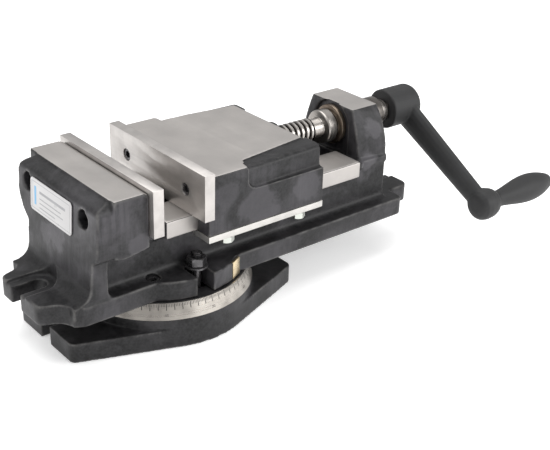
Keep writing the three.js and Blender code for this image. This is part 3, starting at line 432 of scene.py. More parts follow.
bodyHigh = corners("vise_body")[1]
plateLow, plateHigh = corners("fixed_jaw_plate")
jawLow, jawHigh = corners("movable_jaw")
wayTop = plateLow.z - 0.3 * mm
blockTop = plateHigh.z - 2.2 * mm
wayHalf = 45.7 * mm
wayRear = 162.5 * mm
wayFront = plateHigh.x + 12.8 * mm
anyPlace = (None, None, None)
up = (0.0, 0.0, 1.0)
bodyFaces = [
    (up, blockTop - 0.5 * mm, 0.0013, (plateLow.x - 27.5 * mm, None, None), (plateLow.x, None, None)),
    (up, bodyHigh.z, 0.0007, anyPlace, anyPlace),
    (up, wayTop, 0.0007, (plateLow.x - 2 * mm, -wayHalf, None), (wayRear, wayHalf, None)),
    ((0.0, -1.0, 0.0), wayHalf, 0.0008, (wayFront - 0.4 * mm, None, None), (wayRear, None, None)),
    ((0.0, 1.0, 0.0), wayHalf, 0.0008, (wayFront - 0.4 * mm, None, None), (wayRear, None, None)),
    ((1.0, 0.0, 0.0), wayRear, 0.0008, anyPlace, anyPlace),
]
labelPlace = middle("name_plate")
bodySpots = [
    ((labelPlace.x, labelPlace.y - 6 * mm, labelPlace.z - 19 * mm), 0.013, 0.8),
    ((labelPlace.x, labelPlace.y + 9 * mm, labelPlace.z - 24 * mm), 0.009, 0.6),
    ((plateLow.x - 9 * mm, plateLow.y + 5 * mm, wayTop - 4 * mm), 0.009, 0.5),
    ((bodyHigh.x - 47 * mm, -37 * mm, bodyHigh.z - 15 * mm), 0.010, 0.55),
    ((bodyHigh.x - 55 * mm, -40 * mm, wayTop - 4 * mm), 0.009, 0.6),
]
jawSpots = [
    ((jawLow.x + 45 * mm, jawLow.y, wayTop - 1 * mm), 0.02, 0.5),
    ((jawLow.x + 92 * mm, jawLow.y, wayTop + 2 * mm), 0.014, 0.5),
    ((jawLow.x + 15 * mm, jawLow.y, wayTop + 14 * mm), 0.012, 0.35),
]
castBody = castMaterial("castEnamelBody", bodyFaces, streaksAbove=wayTop - 36 * mm, spots=bodySpots)
castJaw = castMaterial("castEnamelJaw", [(up, jawHigh.z, 0.0007, anyPlace, anyPlace)], smear=0.7,
                       spots=jawSpots)
castBase = castMaterial("castEnamelBase", smear=0.55, streaksAbove=0.03)
groundPlates = steelMaterial("groundPlateSteel", (0.5, 0.475, 0.455), (0.42, 0.4, 0.385), 0.36, 0.85,
                             (2600.0, 30.0, 2600.0))
groundStrips = steelMaterial("groundStripSteel", (0.55, 0.535, 0.51), (0.47, 0.455, 0.435), 0.38, 0.8,
                             (30.0, 2600.0, 2600.0))
scaleSteel = steelMaterial("scaleSteel", (0.52, 0.485, 0.44), (0.2, 0.185, 0.17), 0.28, 0.92,
                           (60.0, 60.0, 3200.0), lineDepth=0.000008)
turnedSteel = steelMaterial("turnedSteel", (0.44, 0.415, 0.39), (0.27, 0.25, 0.23), 0.3, 0.95,
                            (3800.0, 60.0, 60.0), lineDepth=0.000008)
ringSteel = steelMaterial("ringSteel", (0.2, 0.185, 0.17), (0.08, 0.072, 0.066), 0.3, 0.92,
                          (1900.0, 40.0, 40.0), lineDepth=0.00002)
blackSteel = steelMaterial("blackenedSteel", (0.1, 0.097, 0.1), (0.035, 0.033, 0.035), 0.27, 0.75,
                           (300.0, 300.0, 300.0), edgeBrightening=0.9)
zincSteel = steelMaterial("zincPlate", (0.6, 0.62, 0.58), (0.48, 0.5, 0.45), 0.32, 0.9,
                          (260.0, 260.0, 260.0), lineDepth=0.000006)
bushMetal = steelMaterial("bearingBronze", (0.27, 0.22, 0.17), (0.13, 0.1, 0.08), 0.36, 0.9,
                          (60.0, 900.0, 900.0), lineDepth=0.000008)
pointerMetal = steelMaterial("pointerBrass", (0.72, 0.6, 0.4), (0.5, 0.4, 0.25), 0.3, 0.95,
                             (300.0, 300.0, 1500.0))
threadSteel = threadMaterial()
crankPaint = crankMaterial()
scaleInk = plainMaterial("scaleLines", (0.02, 0.018, 0.017), 0.5)
labelWhite = plainMaterial("labelFace", (0.56, 0.55, 0.55), 0.3, mottle=0.05, scale=60.0)
labelGrey = plainMaterial("labelPrintGrey", (0.32, 0.32, 0.33), 0.4)
labelBlue = plainMaterial("labelPrintBlue", (0.16, 0.42, 0.68), 0.35)
print("materials ready:", len(bpy.data.materials))


# Mesh helpers.

def newPiece(name, mesh, material):
    made = bpy.data.objects.new(name, mesh)
    bpy.context.scene.collection.objects.link(made)
    if material is not None:
        mesh.materials.clear()
        mesh.materials.append(material)
    return made


def meshFromBmesh(name, bm):
    mesh = bpy.data.meshes.new(name)
    bm.to_mesh(mesh)
    bm.free()
    return mesh


def bakeModifiers(obj):
    # turns the evaluated object into a plain mesh and drops its modifiers
    held = bpy.context.evaluated_depsgraph_get()
    mesh = bpy.data.meshes.new_from_object(obj.evaluated_get(held), depsgraph=held)
    obj.modifiers.clear()
    old = obj.data
    obj.data = mesh
    bpy.data.meshes.remove(old)
    return obj


def smoothByAngle(obj, degrees=32.0):
    mesh = obj.data
    mesh.polygons.foreach_set("use_smooth", [True] * len(mesh.polygons))
    mesh.set_sharp_from_angle(angle=math.radians(degrees))


def mergedCopy(node):
    bm = bmesh.new()
    bm.from_mesh(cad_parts[node].data)
    bmesh.ops.remove_doubles(bm, verts=bm.verts, dist=0.000002)
    return bm


def finishPiece(obj, body, nodes=()):
    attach(obj, body)
    if nodes:
        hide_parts(*nodes)
    return obj


def beveledPiece(node, name, material, body, width):
    # the CAD shape with its flat faces joined up and its edges broken
    bm = mergedCopy(node)
    bmesh.ops.dissolve_limit(bm, angle_limit=math.radians(0.8), verts=bm.verts, edges=bm.edges)
    obj = newPiece(name, meshFromBmesh(name, bm), material)
    bevel = obj.modifiers.new("edges", "BEVEL")
    bevel.width = width * mm
    bevel.segments = 2
    bevel.limit_method = "ANGLE"
    bevel.angle_limit = math.radians(38)
    bevel.miter_outer = "MITER_ARC"
    bakeModifiers(obj)
    obj.data.materials.clear()
    obj.data.materials.append(material)
    smoothByAngle(obj)
    return finishPiece(obj, body, [node])


def castPiece(node, name, material, body, settings):
    # soft cast edges: the CAD shape rebuilt in small cells, relaxed, then thinned
    obj = newPiece(name, meshFromBmesh(name, mergedCopy(node)), material)
    cells = obj.modifiers.new("cells", "REMESH")
    cells.mode = "VOXEL"
    cells.voxel_size = settings["cell"] * mm
    relax = obj.modifiers.new("relax", "SMOOTH")
    relax.factor = 0.5
    relax.iterations = settings["relax"]
    bakeModifiers(obj)
    faces = len(obj.data.polygons) * 2
    if faces > settings["faces"]:
        thin = obj.modifiers.new("thin", "DECIMATE")
        thin.ratio = settings["faces"] / faces
        bakeModifiers(obj)
    obj.data.materials.clear()
    obj.data.materials.append(material)
    obj.data.polygons.foreach_set("use_smooth", [True] * len(obj.data.polygons))
    return finishPiece(obj, body, [node])


def lathe(name, outline, material, centre, axis="X", segments=64):
    # outline is a list of (place along the axis, radius) in millimetres, starting and ending on the axis
    bm = bmesh.new()
    rings = []
    for along, radius in outline:
        ring = []
        for j in range(segments if radius > 1e-6 else 1):
            a = 2 * math.pi * j / segments
            c, s = radius * math.cos(a) * mm, radius * math.sin(a) * mm
            point = Vector((along * mm, c, s)) if axis == "X" else Vector((c, s, along * mm))
            ring.append(bm.verts.new(point + centre))
        rings.append(ring)
    for first, second in zip(rings, rings[1:]):
        for j in range(segments):
            k = (j + 1) % segments
            if len(first) == 1 and len(second) == 1:
                continue
            if len(first) == 1:
                bm.faces.new((first[0], second[j], second[k]))
            elif len(second) == 1:
                bm.faces.new((first[j], second[0], first[k]))
            else:
                bm.faces.new((first[j], second[j], second[k], first[k]))
    bmesh.ops.recalc_face_normals(bm, faces=bm.faces)
    return newPiece(name, meshFromBmesh(name, bm), material)


def addThread(bm, centre, axis, start, end, crest, root, pitch, hand, segments=48):
    # a trapezoidal helix between two flat ends; hand is +1 for right-hand, -1 for left-hand
    steps = [(0.0, root), (0.16, root), (0.34, crest), (0.66, crest), (0.84, root)]
    turns = int(math.ceil((end - start) / pitch)) + 2
    rows = []
    for turn in range(-1, turns):
        for share, radius in steps:
            row = []
            for j in range(segments + 1):
                a = 2 * math.pi * j / segments
                along = start + (turn + share + j / segments) * pitch
                along = min(max(along, start), end)
                y, z = radius * math.cos(a) * mm, hand * radius * math.sin(a) * mm
                point = Vector((along * mm, y, z)) if axis == "X" else Vector((y, z, along * mm))
                row.append(bm.verts.new(point + centre))
            rows.append(row)
    for first, second in zip(rows, rows[1:]):
        for j in range(segments):
            bm.faces.new((first[j], second[j], second[j + 1], first[j + 1]))


def slab(bm, matrix, x0, x1, y0, y1, z0, z1):
    # a box between two corners in millimetres, moved by the matrix
    for v in bmesh.ops.create_cube(bm, size=1.0)["verts"]:
        x, y, z = (low + (part + 0.5) * (high - low)
                   for part, low, high in zip(v.co, (x0, y0, z0), (x1, y1, z1)))
        v.co = matrix @ (Vector((x, y, z)) * mm)


def joinPieces(name, pieces):
    bm = bmesh.new()
    for piece in pieces:
        bm.from_mesh(piece.data)
    mesh = meshFromBmesh(name, bm)
    for material in pieces[0].data.materials:
        mesh.materials.append(material)
    for piece in pieces:
        bpy.data.objects.remove(piece)
    made = bpy.data.objects.new(name, mesh)
    bpy.context.scene.collection.objects.link(made)
    return made


# Geometry node trees.

def geometryTree(name, inputs):
    tree = bpy.data.node_groups.new(name, "GeometryNodeTree")
    ids = {}
    for label, kind in inputs:
        socket = tree.interface.new_socket(name=label, in_out="INPUT", socket_type=kind)
        ids[label] = socket.identifier
    tree.interface.new_socket(name="Geometry", in_out="OUTPUT", socket_type="NodeSocketGeometry")
    return tree, ids, tree.nodes.new("NodeGroupInput"), tree.nodes.new("NodeGroupOutput")


def makeRepeatTree():
    # copies the piece on a rectangle of places, evenly spaced along X and Y
    tree, ids, given, out = geometryTree("repeatOnGrid", [
        ("Geometry", "NodeSocketGeometry"), ("Count X", "NodeSocketInt"), ("Spacing X", "NodeSocketFloat"),
        ("Count Y", "NodeSocketInt"), ("Spacing Y", "NodeSocketFloat"), ("Material", "NodeSocketMaterial")])
    shape = given.outputs["Geometry"]
    for label in "XY":
        step = addNode(tree, "ShaderNodeCombineXYZ", {label: given.outputs[f"Spacing {label}"]})
        line = addNode(tree, "GeometryNodeMeshLine",
                       {"Count": given.outputs[f"Count {label}"], "Offset": step.outputs["Vector"]})
        spread = addNode(tree, "GeometryNodeInstanceOnPoints",
                         {"Points": line.outputs["Mesh"], "Instance": shape})
        shape = addNode(tree, "GeometryNodeRealizeInstances",
                        {"Geometry": spread.outputs["Instances"]}).outputs["Geometry"]
    dress = addNode(tree, "GeometryNodeSetMaterial", {"Geometry": shape, "Material": given.outputs["Material"]})
    tree.links.new(dress.outputs["Geometry"], out.inputs["Geometry"])
    return tree, ids


def makeTickTree():
    # graduation lines round a cone: short, middle and long ones from the step count
    tree, ids, given, out = geometryTree("scaleTicks", [
        ("Geometry", "NodeSocketGeometry"), ("Count", "NodeSocketInt"), ("Top Radius", "NodeSocketFloat"),
        ("Top Height", "NodeSocketFloat"), ("Lean", "NodeSocketFloat"), ("Short", "NodeSocketFloat"),
        ("Middle", "NodeSocketFloat"), ("Long", "NodeSocketFloat"), ("Width", "NodeSocketFloat"),
        ("Relief", "NodeSocketFloat"), ("Material", "NodeSocketMaterial")])
    index = tree.nodes.new("GeometryNodeInputIndex").outputs["Index"]
    turn = times(tree, mathNode(tree, "DIVIDE", index, given.outputs["Count"]), 2 * math.pi)
    isMiddle = mathNode(tree, "COMPARE", mathNode(tree, "MODULO", index, 5.0), 0.0, 0.1)
    isLong = mathNode(tree, "COMPARE", mathNode(tree, "MODULO", index, 10.0), 0.0, 0.1)
    length = mathNode(tree, "MULTIPLY_ADD", isMiddle,
                      mathNode(tree, "SUBTRACT", given.outputs["Middle"], given.outputs["Short"]),
                      given.outputs["Short"])
    length = mathNode(tree, "MULTIPLY_ADD", isLong,
                      mathNode(tree, "SUBTRACT", given.outputs["Long"], given.outputs["Middle"]), length)
    half = times(tree, length, 0.5)
    radius = mathNode(tree, "MULTIPLY_ADD", half, mathNode(tree, "SINE", given.outputs["Lean"]),
                      given.outputs["Top Radius"])
    drop = times(tree, half, mathNode(tree, "COSINE", given.outputs["Lean"]))
    height = mathNode(tree, "SUBTRACT", given.outputs["Top Height"], drop)
    spot = addNode(tree, "ShaderNodeCombineXYZ", {
        "X": times(tree, radius, mathNode(tree, "COSINE", turn)),
        "Y": times(tree, radius, mathNode(tree, "SINE", turn)), "Z": height})
    line = addNode(tree, "GeometryNodeMeshLine", {"Count": given.outputs["Count"]})
    places = addNode(tree, "GeometryNodeSetPosition",
                     {"Geometry": line.outputs["Mesh"], "Position": spot.outputs["Vector"]})
    bar = addNode(tree, "GeometryNodeMeshCube", {"Size": (1.0, 1.0, 1.0)})
    width = times(tree, given.outputs["Width"], mathNode(tree, "MULTIPLY_ADD", isMiddle, 0.7, 1.0))
    size = addNode(tree, "ShaderNodeCombineXYZ", {"X": given.outputs["Relief"], "Y": width, "Z": length})
    lean = times(tree, given.outputs["Lean"], -1.0)
    turned = addNode(tree, "ShaderNodeCombineXYZ", {"Y": lean, "Z": turn})
    spread = addNode(tree, "GeometryNodeInstanceOnPoints", {
        "Points": places.outputs["Geometry"], "Instance": bar.outputs["Mesh"],
        "Rotation": turned.outputs["Vector"], "Scale": size.outputs["Vector"]})
    real = addNode(tree, "GeometryNodeRealizeInstances", {"Geometry": spread.outputs["Instances"]})
    dress = addNode(tree, "GeometryNodeSetMaterial",
                    {"Geometry": real.outputs["Geometry"], "Material": given.outputs["Material"]})
    tree.links.new(dress.outputs["Geometry"], out.inputs["Geometry"])
    return tree, ids


repeatTree, repeatIds = makeRepeatTree()
tickTree, tickIds = makeTickTree()


def runTree(obj, tree, ids, values):
    added = obj.modifiers.new("nodes", "NODES")
    added.node_group = tree
    for label, value in values.items():
        added[ids[label]] = value
    obj.data.update()
    return bakeModifiers(obj)


def repeated(obj, material, countX, spacingX, countY, spacingY):
    runTree(obj, repeatTree, repeatIds, {
        "Count X": countX, "Spacing X": spacingX, "Count Y": countY, "Spacing Y": spacingY,
        "Material": material})
    return obj


# Castings: voxel cell in millimetres, smoothing passes and the most triangles.
castSizes = {
    "vise_body": {"cell": 0.95, "relax": 3, "faces": 185000},
    "movable_jaw": {"cell": 0.8, "relax": 3, "faces": 120000},
    "swivel_base": {"cell": 0.95, "relax": 3, "faces": 120000},
    "crank_handle": {"cell": 0.6, "relax": 6, "faces": 90000},
}
for node, name, material, body, slot in (
        ("vise_body", "bodyCasting", castBody, "body", "iron_paint"),
        ("movable_jaw", "movableJawCasting", castJaw, "jaw", "iron_paint"),
        ("swivel_base", "baseCasting", castBase, "base", "iron_paint"),
        ("crank_handle", "crankForging", crankPaint, "screw", "crank_paint")):
    castPiece(node, name, material, body, castSizes[node])
print("castings done")


# Graduated scale on the base, in millimetres; the base stands on Z = 0.
scaleRing = {
    "topRadius": 66.62, "topHeight": 35.15, "bottomRadius": 70.62, "bottomHeight": 23.3, "inner": 62.0,
    "short": 2.2, "middle": 4.6, "long": 6.4, "width": 0.36, "relief": 0.12, "figure": 2.8, "figureDrop": 8.6,
    "figureEvery": 30,
}


def makeScale():
    s = scaleRing
    skin = lathe("scaleBand", [
        (s["topHeight"], s["inner"]), (s["topHeight"], s["topRadius"] - 0.25),
        (s["topHeight"] - 0.25, s["topRadius"]), (s["bottomHeight"] + 0.2, s["bottomRadius"]),
        (s["bottomHeight"], s["bottomRadius"] - 0.2), (s["bottomHeight"], s["bottomRadius"] - 1.5),
        (s["topHeight"] - 2.0, s["inner"]), (s["topHeight"], s["inner"])],
        scaleSteel, Vector((0, 0, 0)), axis="Z", segments=256)
    bm = bmesh.new()
    bm.from_mesh(skin.data)
    bmesh.ops.remove_doubles(bm, verts=bm.verts, dist=0.000001)
    bmesh.ops.recalc_face_normals(bm, faces=bm.faces)
    bm.to_mesh(skin.data)
    bm.free()
    smoothByAngle(skin, 25)
    finishPiece(skin, "base")

    lean = math.atan2(s["bottomRadius"] - s["topRadius"], s["topHeight"] - s["bottomHeight"])
    seed = bpy.data.meshes.new("scaleLines")
    ticks = newPiece("scaleLines", seed, None)
    runTree(ticks, tickTree, tickIds, {
        "Count": 360, "Top Radius": (s["topRadius"] + 0.01) * mm, "Top Height": (s["topHeight"] - 0.3) * mm,
        "Lean": lean, "Short": s["short"] * mm, "Middle": s["middle"] * mm, "Long": s["long"] * mm,
        "Width": s["width"] * mm, "Relief": s["relief"] * mm, "Material": scaleInk})
    finishPiece(ticks, "base")

    figures = []
    for degrees in range(0, 360, s["figureEvery"]):
        shown = degrees % 180
        shown = shown if shown <= 90 else 180 - shown
        text = bpy.data.curves.new(f"figure{degrees}", "FONT")
        text.body = str(shown)
        text.size = s["figure"] * mm
        text.align_x = text.align_y = "CENTER"
        text.extrude = 0.05 * mm
        text.resolution_u = 2
        holder = bpy.data.objects.new(f"figure{degrees}", text)
        bpy.context.scene.collection.objects.link(holder)
        held = bpy.context.evaluated_depsgraph_get()
        mesh = bpy.data.meshes.new_from_object(holder.evaluated_get(held))
        bpy.data.objects.remove(holder)
        drop = s["figureDrop"]
        radius = (s["topRadius"] + drop * math.sin(lean)) * mm
        place = (Matrix.Rotation(math.radians(degrees - 90), 4, "Z")
                 @ Matrix.Translation((0, -radius, (s["topHeight"] - drop * math.cos(lean)) * mm))
                 @ Matrix.Rotation(math.pi / 2 - lean, 4, "X"))
        mesh.transform(place)
        mesh.materials.clear()
        mesh.materials.append(scaleInk)
        figures.append(newPiece(f"figure{degrees}", mesh, scaleInk))
    finishPiece(joinPieces("scaleFigures", figures), "base")


makeScale()
print("scale done")


# Jaw plates, strips, screws and other small pieces; the last value is the edge width in millimetres.
for node, name, body, slot, material, width in (
        ("fixed_jaw_plate", "fixedPlate", "body", "jaw_steel", groundPlates, 0.4),
        ("movable_jaw_plate", "movablePlate", "jaw", "jaw_steel", groundPlates, 0.4),
        ("keeper_strip_near", "keeperStripNear", "jaw", "keeper_steel", groundStrips, 0.35),
        ("keeper_strip_far", "keeperStripFar", "jaw", "keeper_steel", groundStrips, 0.35),
        ("stop_ring", "stopRing", "screw", "screw_steel", ringSteel, 0.6),
        ("stop_ring_screw", "stopRingScrew", "screw", "dark_steel", blackSteel, 0.25),
        ("screw_bush", "screwBush", "body", "bronze", bushMetal, 0.5),
        ("lead_nut", "leadNut", "jaw", "bronze", bushMetal, 0.4),
        ("index_pointer", "indexPointer", "body", "bronze", pointerMetal, 0.25),
        ("flange_set_screw", "flangeSetScrew", "body", "dark_steel", blackSteel, 0.3),
        ("pivot_pin", "pivotPin", "base", "dark_steel", blackSteel, 0.4),
        ("clamp_washer_near", "clampWasherNear", "body", "dark_steel", blackSteel, 0.3),
        ("clamp_washer_far", "clampWasherFar", "body", "dark_steel", blackSteel, 0.3),
        ("fixed_jaw_screw_near", "fixedScrewNear", "body", "dark_steel", blackSteel, 0.3),
        ("fixed_jaw_screw_far", "fixedScrewFar", "body", "dark_steel", blackSteel, 0.3),
        ("movable_jaw_screw_near", "movableScrewNear", "jaw", "dark_steel", blackSteel, 0.25),
        ("movable_jaw_screw_far", "movableScrewFar", "jaw", "dark_steel", blackSteel, 0.25),
        ("name_plate", "namePlate", "body", "label", labelWhite, 0.25)):
    beveledPiece(node, name, material, body, width)
print("plates and small pieces done")


# Hex heads and nuts.

hexShape = {"faceShare": 0.97, "chamferAngle": 28}


def hexPrism(bm, centre, flats, low, high, chamferLow, chamferHigh, bore=0.0, step=8):
    # hexagon along Z with the usual turned chamfer that leaves an arc on each flat
    inner = flats / 2
    faceRadius = inner * hexShape["faceShare"]
    slope = math.tan(math.radians(hexShape["chamferAngle"]))
    around = 6 * step
    rings = {"lowFace": [], "low": [], "high": [], "highFace": []}
    for j in range(around):
        a = 2 * math.pi * j / around
        off = (a + math.pi / 6) % (math.pi / 3) - math.pi / 6
        radius = inner / math.cos(off)
        spare = (radius - faceRadius) * slope
        c, s = math.cos(a), math.sin(a)
        rings["low"].append((radius * c, radius * s, low + (spare if chamferLow else 0.0)))
        rings["high"].append((radius * c, radius * s, high - (spare if chamferHigh else 0.0)))
        flatLow = faceRadius if chamferLow else radius
        flatHigh = faceRadius if chamferHigh else radius
        rings["lowFace"].append((flatLow * c, flatLow * s, low))
        rings["highFace"].append((flatHigh * c, flatHigh * s, high))
    order = ["lowFace", "low", "high", "highFace"]
    if not chamferLow:
        order.remove("lowFace")
    if not chamferHigh:
        order.remove("highFace")
    made = [[bm.verts.new(Vector(p) * mm + centre) for p in rings[key]] for key in order]
    for first, second in zip(made, made[1:]):
        for j in range(around):
            k = (j + 1) % around
            bm.faces.new((first[j], first[k], second[k], second[j]))
    if bore:
        ends = []
        for z in (low, high):
            ends.append([bm.verts.new(Vector((bore * math.cos(2 * math.pi * j / around),
                                              bore * math.sin(2 * math.pi * j / around), z)) * mm + centre)
                         for j in range(around)])
        for j in range(around):
            k = (j + 1) % around
            bm.faces.new((made[0][k], made[0][j], ends[0][j], ends[0][k]))
            bm.faces.new((made[-1][j], made[-1][k], ends[1][k], ends[1][j]))
            bm.faces.new((ends[0][k], ends[0][j], ends[1][j], ends[1][k]))
    else:
        bm.faces.new(list(reversed(made[0])))
        bm.faces.new(made[-1])


def rodShell(bm, centre, radius, low, high, chamfer=0.5, segments=32):
    rings = []
    for z, r in ((low, radius - chamfer), (low + chamfer, radius),
                 (high - chamfer, radius), (high, radius - chamfer)):
        rings.append([bm.verts.new(Vector((r * math.cos(2 * math.pi * j / segments),
                                           r * math.sin(2 * math.pi * j / segments), z)) * mm + centre)
                      for j in range(segments)])
    for first, second in zip(rings, rings[1:]):
        for j in range(segments):
            k = (j + 1) % segments
            bm.faces.new((first[j], first[k], second[k], second[j]))
    bm.faces.new(list(reversed(rings[0])))
    bm.faces.new(rings[-1])


keeperBolt = {"flats": 10.0, "headHeight": 4.9, "shank": 3.0}
clampStud = {"thread": 3.98, "root": 3.35, "pitch": 1.25, "nutFlats": 13.0, "nutBore": 4.25,
             "headSide": 14.0, "headHeight": 6.5}


def makeKeeperBolts():
    low, high = corners("keeper_bolt_near_1")
    second = middle("keeper_bolt_near_2")
    far = middle("keeper_bolt_far_1")
    centre = Vector((middle("keeper_bolt_near_1").x, middle("keeper_bolt_near_1").y, low.z))
    bm = bmesh.new()
    hexPrism(bm, centre, keeperBolt["flats"], 0.05, keeperBolt["headHeight"], True, False)
    rodShell(bm, centre, keeperBolt["shank"], keeperBolt["headHeight"] - 0.5, (high.z - low.z) / mm - 0.1)
    bolt = newPiece("keeperBolts", meshFromBmesh("keeperBolts", bm), zincSteel)
    smoothByAngle(bolt, 25)
    repeated(bolt, zincSteel, 2, second.x - centre.x, 2, far.y - centre.y)
    finishPiece(bolt, "jaw",
                [f"keeper_bolt_{side}_{n}" for side in ("near", "far") for n in (1, 2)])


def makeClampStuds():
    boltLow, boltHigh = corners("clamp_bolt_near")
    nutLow, nutHigh = corners("clamp_nut_near")
    centre = Vector((0, middle("clamp_bolt_near").y, 0))
    far = middle("clamp_bolt_far").y
    headTop = boltLow.z / mm + clampStud["headHeight"]
    half = clampStud["headSide"] / 2
    bm = bmesh.new()
    slab(bm, Matrix.Translation(centre), -half, half, -half, half, boltLow.z / mm, headTop)
    rodShell(bm, centre, clampStud["root"], headTop - 1, boltHigh.z / mm - 0.1, 0.4)
    addThread(bm, centre, "Z", nutLow.z / mm - 4, boltHigh.z / mm - 0.5, clampStud["thread"],
              clampStud["root"], clampStud["pitch"], 1, 32)
    stud = newPiece("clampBolts", meshFromBmesh("clampBolts", bm), blackSteel)
    smoothByAngle(stud, 30)
    repeated(stud, blackSteel, 1, 0.0, 2, far - centre.y)
    finishPiece(stud, "body", ["clamp_bolt_near", "clamp_bolt_far"])

    bm = bmesh.new()
    hexPrism(bm, centre, clampStud["nutFlats"], nutLow.z / mm, nutHigh.z / mm, True, True,
             bore=clampStud["nutBore"])
    nut = newPiece("clampNuts", meshFromBmesh("clampNuts", bm), blackSteel)
    smoothByAngle(nut, 25)
    repeated(nut, blackSteel, 1, 0.0, 2, far - centre.y)
    finishPiece(nut, "body", ["clamp_nut_near", "clamp_nut_far"])


makeKeeperBolts()
makeClampStuds()
print("bolts and nuts done")


# Lead screw and grip, in millimetres.
leadScrew = {"crest": 9.95, "root": 7.7, "pitch": 5.0, "hand": -1, "threadEnd": 147.0, "neck": 8.0,
             "collarFront": 156.5, "collarLength": 9.0, "collar": 14.0, "journal": 11.0, "shaft": 9.0,
             "square": 6.4, "squareSunk": 1.5}


def makeLeadScrew():
    s = leadScrew
    low, high = corners("lead_screw")
    centre = Vector((0, 0, middle("lead_screw").z))
    start, end = low.x / mm, high.x / mm
    blockRear = corners("stop_ring")[0].x / mm - 0.2
    hubFront = corners("crank_handle")[0].x / mm
    collarRear = s["collarFront"] + s["collarLength"]
    shaft = lathe("leadScrewShaft", [
        (start, 0), (start, s["root"] - 1.2), (start + 1.2, s["root"]), (s["threadEnd"] - 3, s["root"]),
        (s["threadEnd"] - 1.5, s["neck"]), (s["collarFront"] - 1.2, s["neck"]),
        (s["collarFront"] - 0.35, s["neck"] + 0.35), (s["collarFront"], s["neck"] + 1.2),
        (s["collarFront"], s["collar"] - 1.3), (s["collarFront"] + 0.4, s["collar"] - 0.5),
        (s["collarFront"] + 1.3, s["collar"]), (collarRear - 0.6, s["collar"]), (collarRear, s["collar"] - 0.6),
        (collarRear, s["journal"]), (blockRear, s["journal"]), (blockRear, s["shaft"]),
        (hubFront - 1.6, s["shaft"]), (hubFront - 1, s["shaft"] - 0.6), (hubFront - 1, 0)],
        turnedSteel, centre, segments=96)
    bm = bmesh.new()
    addThread(bm, centre, "X", start + 0.5, s["threadEnd"] - 1.8, s["crest"], s["root"],
              s["pitch"], s["hand"], 64)
    thread = newPiece("leadScrewThread", meshFromBmesh("leadScrewThread", bm), threadSteel)
    smoothByAngle(thread, 28)
    finishPiece(thread, "screw")
    bm = bmesh.new()
    bm.from_mesh(shaft.data)
    side = s["square"]
    slab(bm, Matrix.Translation(centre), hubFront - s["squareSunk"], end - s["squareSunk"],
         -side, side, -side, side)
    bm.to_mesh(shaft.data)
    bm.free()
    shaft.name = "leadScrewTurned"
    smoothByAngle(shaft, 28)
    finishPiece(shaft, "screw", ["lead_screw"])


crankGrip = {
    "neck": 6.4, "belly": 12.0, "bossEnd": 7.7, "steps": 40, "swellPower": 1.4, "neckShare": 0.85,
    "taper": 0.25, "flare": 1.3, "flareFade": 22, "roundFrom": 0.93, "roundPower": 2.2, "reach": 0.999,
}


def makeGrip():
    s = crankGrip
    bossRear = corners("crank_handle")[1].x / mm
    centre = Vector((0, middle("crank_grip").y, middle("crank_grip").z))
    front, end = bossRear - 0.4, corners("crank_grip")[1].x / mm
    length = end - front
    outline = [(front, 0.0), (front, s["bossEnd"])]
    for i in range(1, s["steps"]):
        t = i / s["steps"]
        swell = math.sin(math.pi * t ** s["swellPower"]) * (s["belly"] - s["neck"] * s["neckShare"])
        neck = s["neck"] - s["taper"] * s["neck"] * t
        radius = neck + swell + s["flare"] * math.exp(-t * s["flareFade"])
        if t > s["roundFrom"]:
            past = (t - s["roundFrom"]) / (1 - s["roundFrom"])
            radius *= math.sqrt(max(0.0, 1 - past ** s["roundPower"]))
        outline.append((front + t * length * s["reach"], radius))
    outline.append((end, 0.0))
    grip = lathe("gripHandle", outline, crankPaint, centre, segments=64)
    smoothByAngle(grip, 50)
    finishPiece(grip, "screw", ["crank_grip"])


makeLeadScrew()
makeGrip()
print("screw and grip done")


# Print on the name plate; a rule is (height on the plate, length, thickness) in millimetres.
namePlatePrint = {"frameInset": 2.0, "frameLine": 0.35, "barX": -21.5, "barWidth": 2.6, "barHalf": 7.0,
                  "rulesFrom": -15.5, "relief": 0.06,
                  "rules": [(4.2, 36.0, 2.0), (-0.6, 30.0, 0.8), (-4.0, 33.0, 0.8), (-7.4, 22.0, 0.8)]}


def makeNamePlatePrint():
    # the plate leans with the casting, so its own axes come from its CAD mesh
    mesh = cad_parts["name_plate"].data
    outward = Vector((-1, 0, 0))
    best = max(mesh.polygons, key=lambda p: p.area * (p.normal.dot(outward) > 0.7))
    normal = best.normal.copy()
    centre = middle("name_plate")
    face = max((v.co - centre).dot(normal) for v in mesh.vertices)
    across = Vector((0, -1, 0))
    upward = normal.cross(across).normalized()
    if upward.z < 0:
        upward.negate()
    basis = Matrix((across, upward, normal)).transposed().to_4x4()
    matrix = Matrix.Translation(centre + normal * (face - 0.03 * mm)) @ basis
    low, high = corners("name_plate")
    halfWide = (high.y - low.y) / 2 / mm
    halfTall = max((v.co - centre).dot(upward) for v in mesh.vertices) / mm
    s = namePlatePrint
    grey, blue = bmesh.new(), bmesh.new()
    w, h, line = halfWide - s["frameInset"], halfTall - s["frameInset"], s["frameLine"]
    for x0, x1, y0, y1 in ((-w, w, h - line, h), (-w, w, -h, -h + line),
                           (-w, -w + line, -h + line, h - line), (w - line, w, -h + line, h - line)):
        slab(grey, matrix, x0, x1, y0, y1, 0, s["relief"])
    for y, length, tall in s["rules"]:
        slab(grey, matrix, s["rulesFrom"], s["rulesFrom"] + length, y - tall / 2, y + tall / 2, 0, s["relief"])
    slab(blue, matrix, s["barX"] - s["barWidth"] / 2, s["barX"] + s["barWidth"] / 2,
         -s["barHalf"], s["barHalf"], 0, s["relief"])
    for bm, name, material in ((grey, "namePlateRules", labelGrey), (blue, "namePlateBar", labelBlue)):
        bmesh.ops.recalc_face_normals(bm, faces=bm.faces)
        finishPiece(newPiece(name, meshFromBmesh(name, bm), material), "body")


makeNamePlatePrint()
print("name plate done")


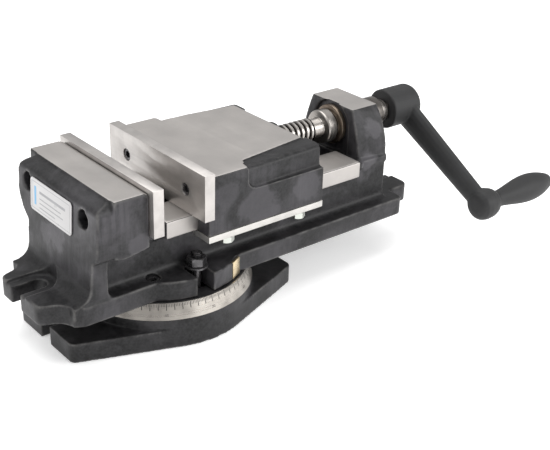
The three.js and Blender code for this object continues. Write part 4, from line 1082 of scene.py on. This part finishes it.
# Stage, lights and camera.
stage = {
    "cameraPlace": (-0.39956, -0.61095, 0.43045), "azimuth": -40.036, "elevation": 26.585, "roll": 1.827,
    "lens": 70.5, "sensor": 36.0, "floor": (0.93, 0.93, 0.93), "floorGlow": 0.35, "floorHalf": 6.0,
    "floorDrop": 0.0005, "world": 0.6, "aim": (0.06, 0.0, 0.06),
}
lights = {
    "keyLight": ((0.9, -1.5, 0.8), (1.6, 1.0), 23),
    "topLight": ((0.1, 0.3, 1.7), (1.8, 1.8), 24),
    "fillLight": ((-1.6, 0.3, 0.7), (1.0, 1.0), 6),
}


def makeCamera():
    s = stage
    a, e, r = (math.radians(s[key]) for key in ("azimuth", "elevation", "roll"))
    back = Vector((math.sin(a) * math.cos(e), -math.cos(a) * math.cos(e), math.sin(e)))
    right = Vector((math.cos(a), math.sin(a), 0))
    upward = back.cross(right)
    x = right * math.cos(r) + upward * math.sin(r)
    y = -right * math.sin(r) + upward * math.cos(r)
    data = bpy.data.cameras.new("camera")
    data.lens = s["lens"]
    data.sensor_width = s["sensor"]
    camera = bpy.data.objects.new("camera", data)
    turn = Matrix((x, y, back)).transposed().to_4x4()
    camera.matrix_world = Matrix.Translation(s["cameraPlace"]) @ turn
    bpy.context.scene.collection.objects.link(camera)
    bpy.context.scene.camera = camera


def areaLight(name, place, target, size, power):
    data = bpy.data.lights.new(name, "AREA")
    data.shape = "RECTANGLE"
    data.size, data.size_y = size
    data.energy = power
    lamp = bpy.data.objects.new(name, data)
    lamp.location = place
    lamp.rotation_euler = (Vector(target) - Vector(place)).to_track_quat("-Z", "Y").to_euler()
    bpy.context.scene.collection.objects.link(lamp)


def makeStage():
    mesh = bpy.data.meshes.new("floor")
    half = stage["floorHalf"]
    mesh.from_pydata([(-half, -half, 0), (half, -half, 0), (half, half, 0), (-half, half, 0)], [],
                     [(0, 1, 2, 3)])
    paper = plainMaterial("floorPaper", stage["floor"], 0.9, mottle=0.01, scale=3.0)
    glow = paper.node_tree.nodes["Principled BSDF"]
    glow.inputs["Emission Color"].default_value = rgb(stage["floor"])
    glow.inputs["Emission Strength"].default_value = stage["floorGlow"]
    floor = newPiece("floor", mesh, paper)
    floor.location.z = -stage["floorDrop"]
    world = bpy.data.worlds.new("studio")
    world.use_nodes = True
    world.node_tree.nodes["Background"].inputs["Color"].default_value = (1, 1, 1, 1)
    world.node_tree.nodes["Background"].inputs["Strength"].default_value = stage["world"]
    bpy.context.scene.world = world
    for name, (place, size, power) in lights.items():
        areaLight(name, place, stage["aim"], size, power)
    bpy.context.scene.view_settings.view_transform = "Standard"


makeCamera()
makeStage()
print("stage done")
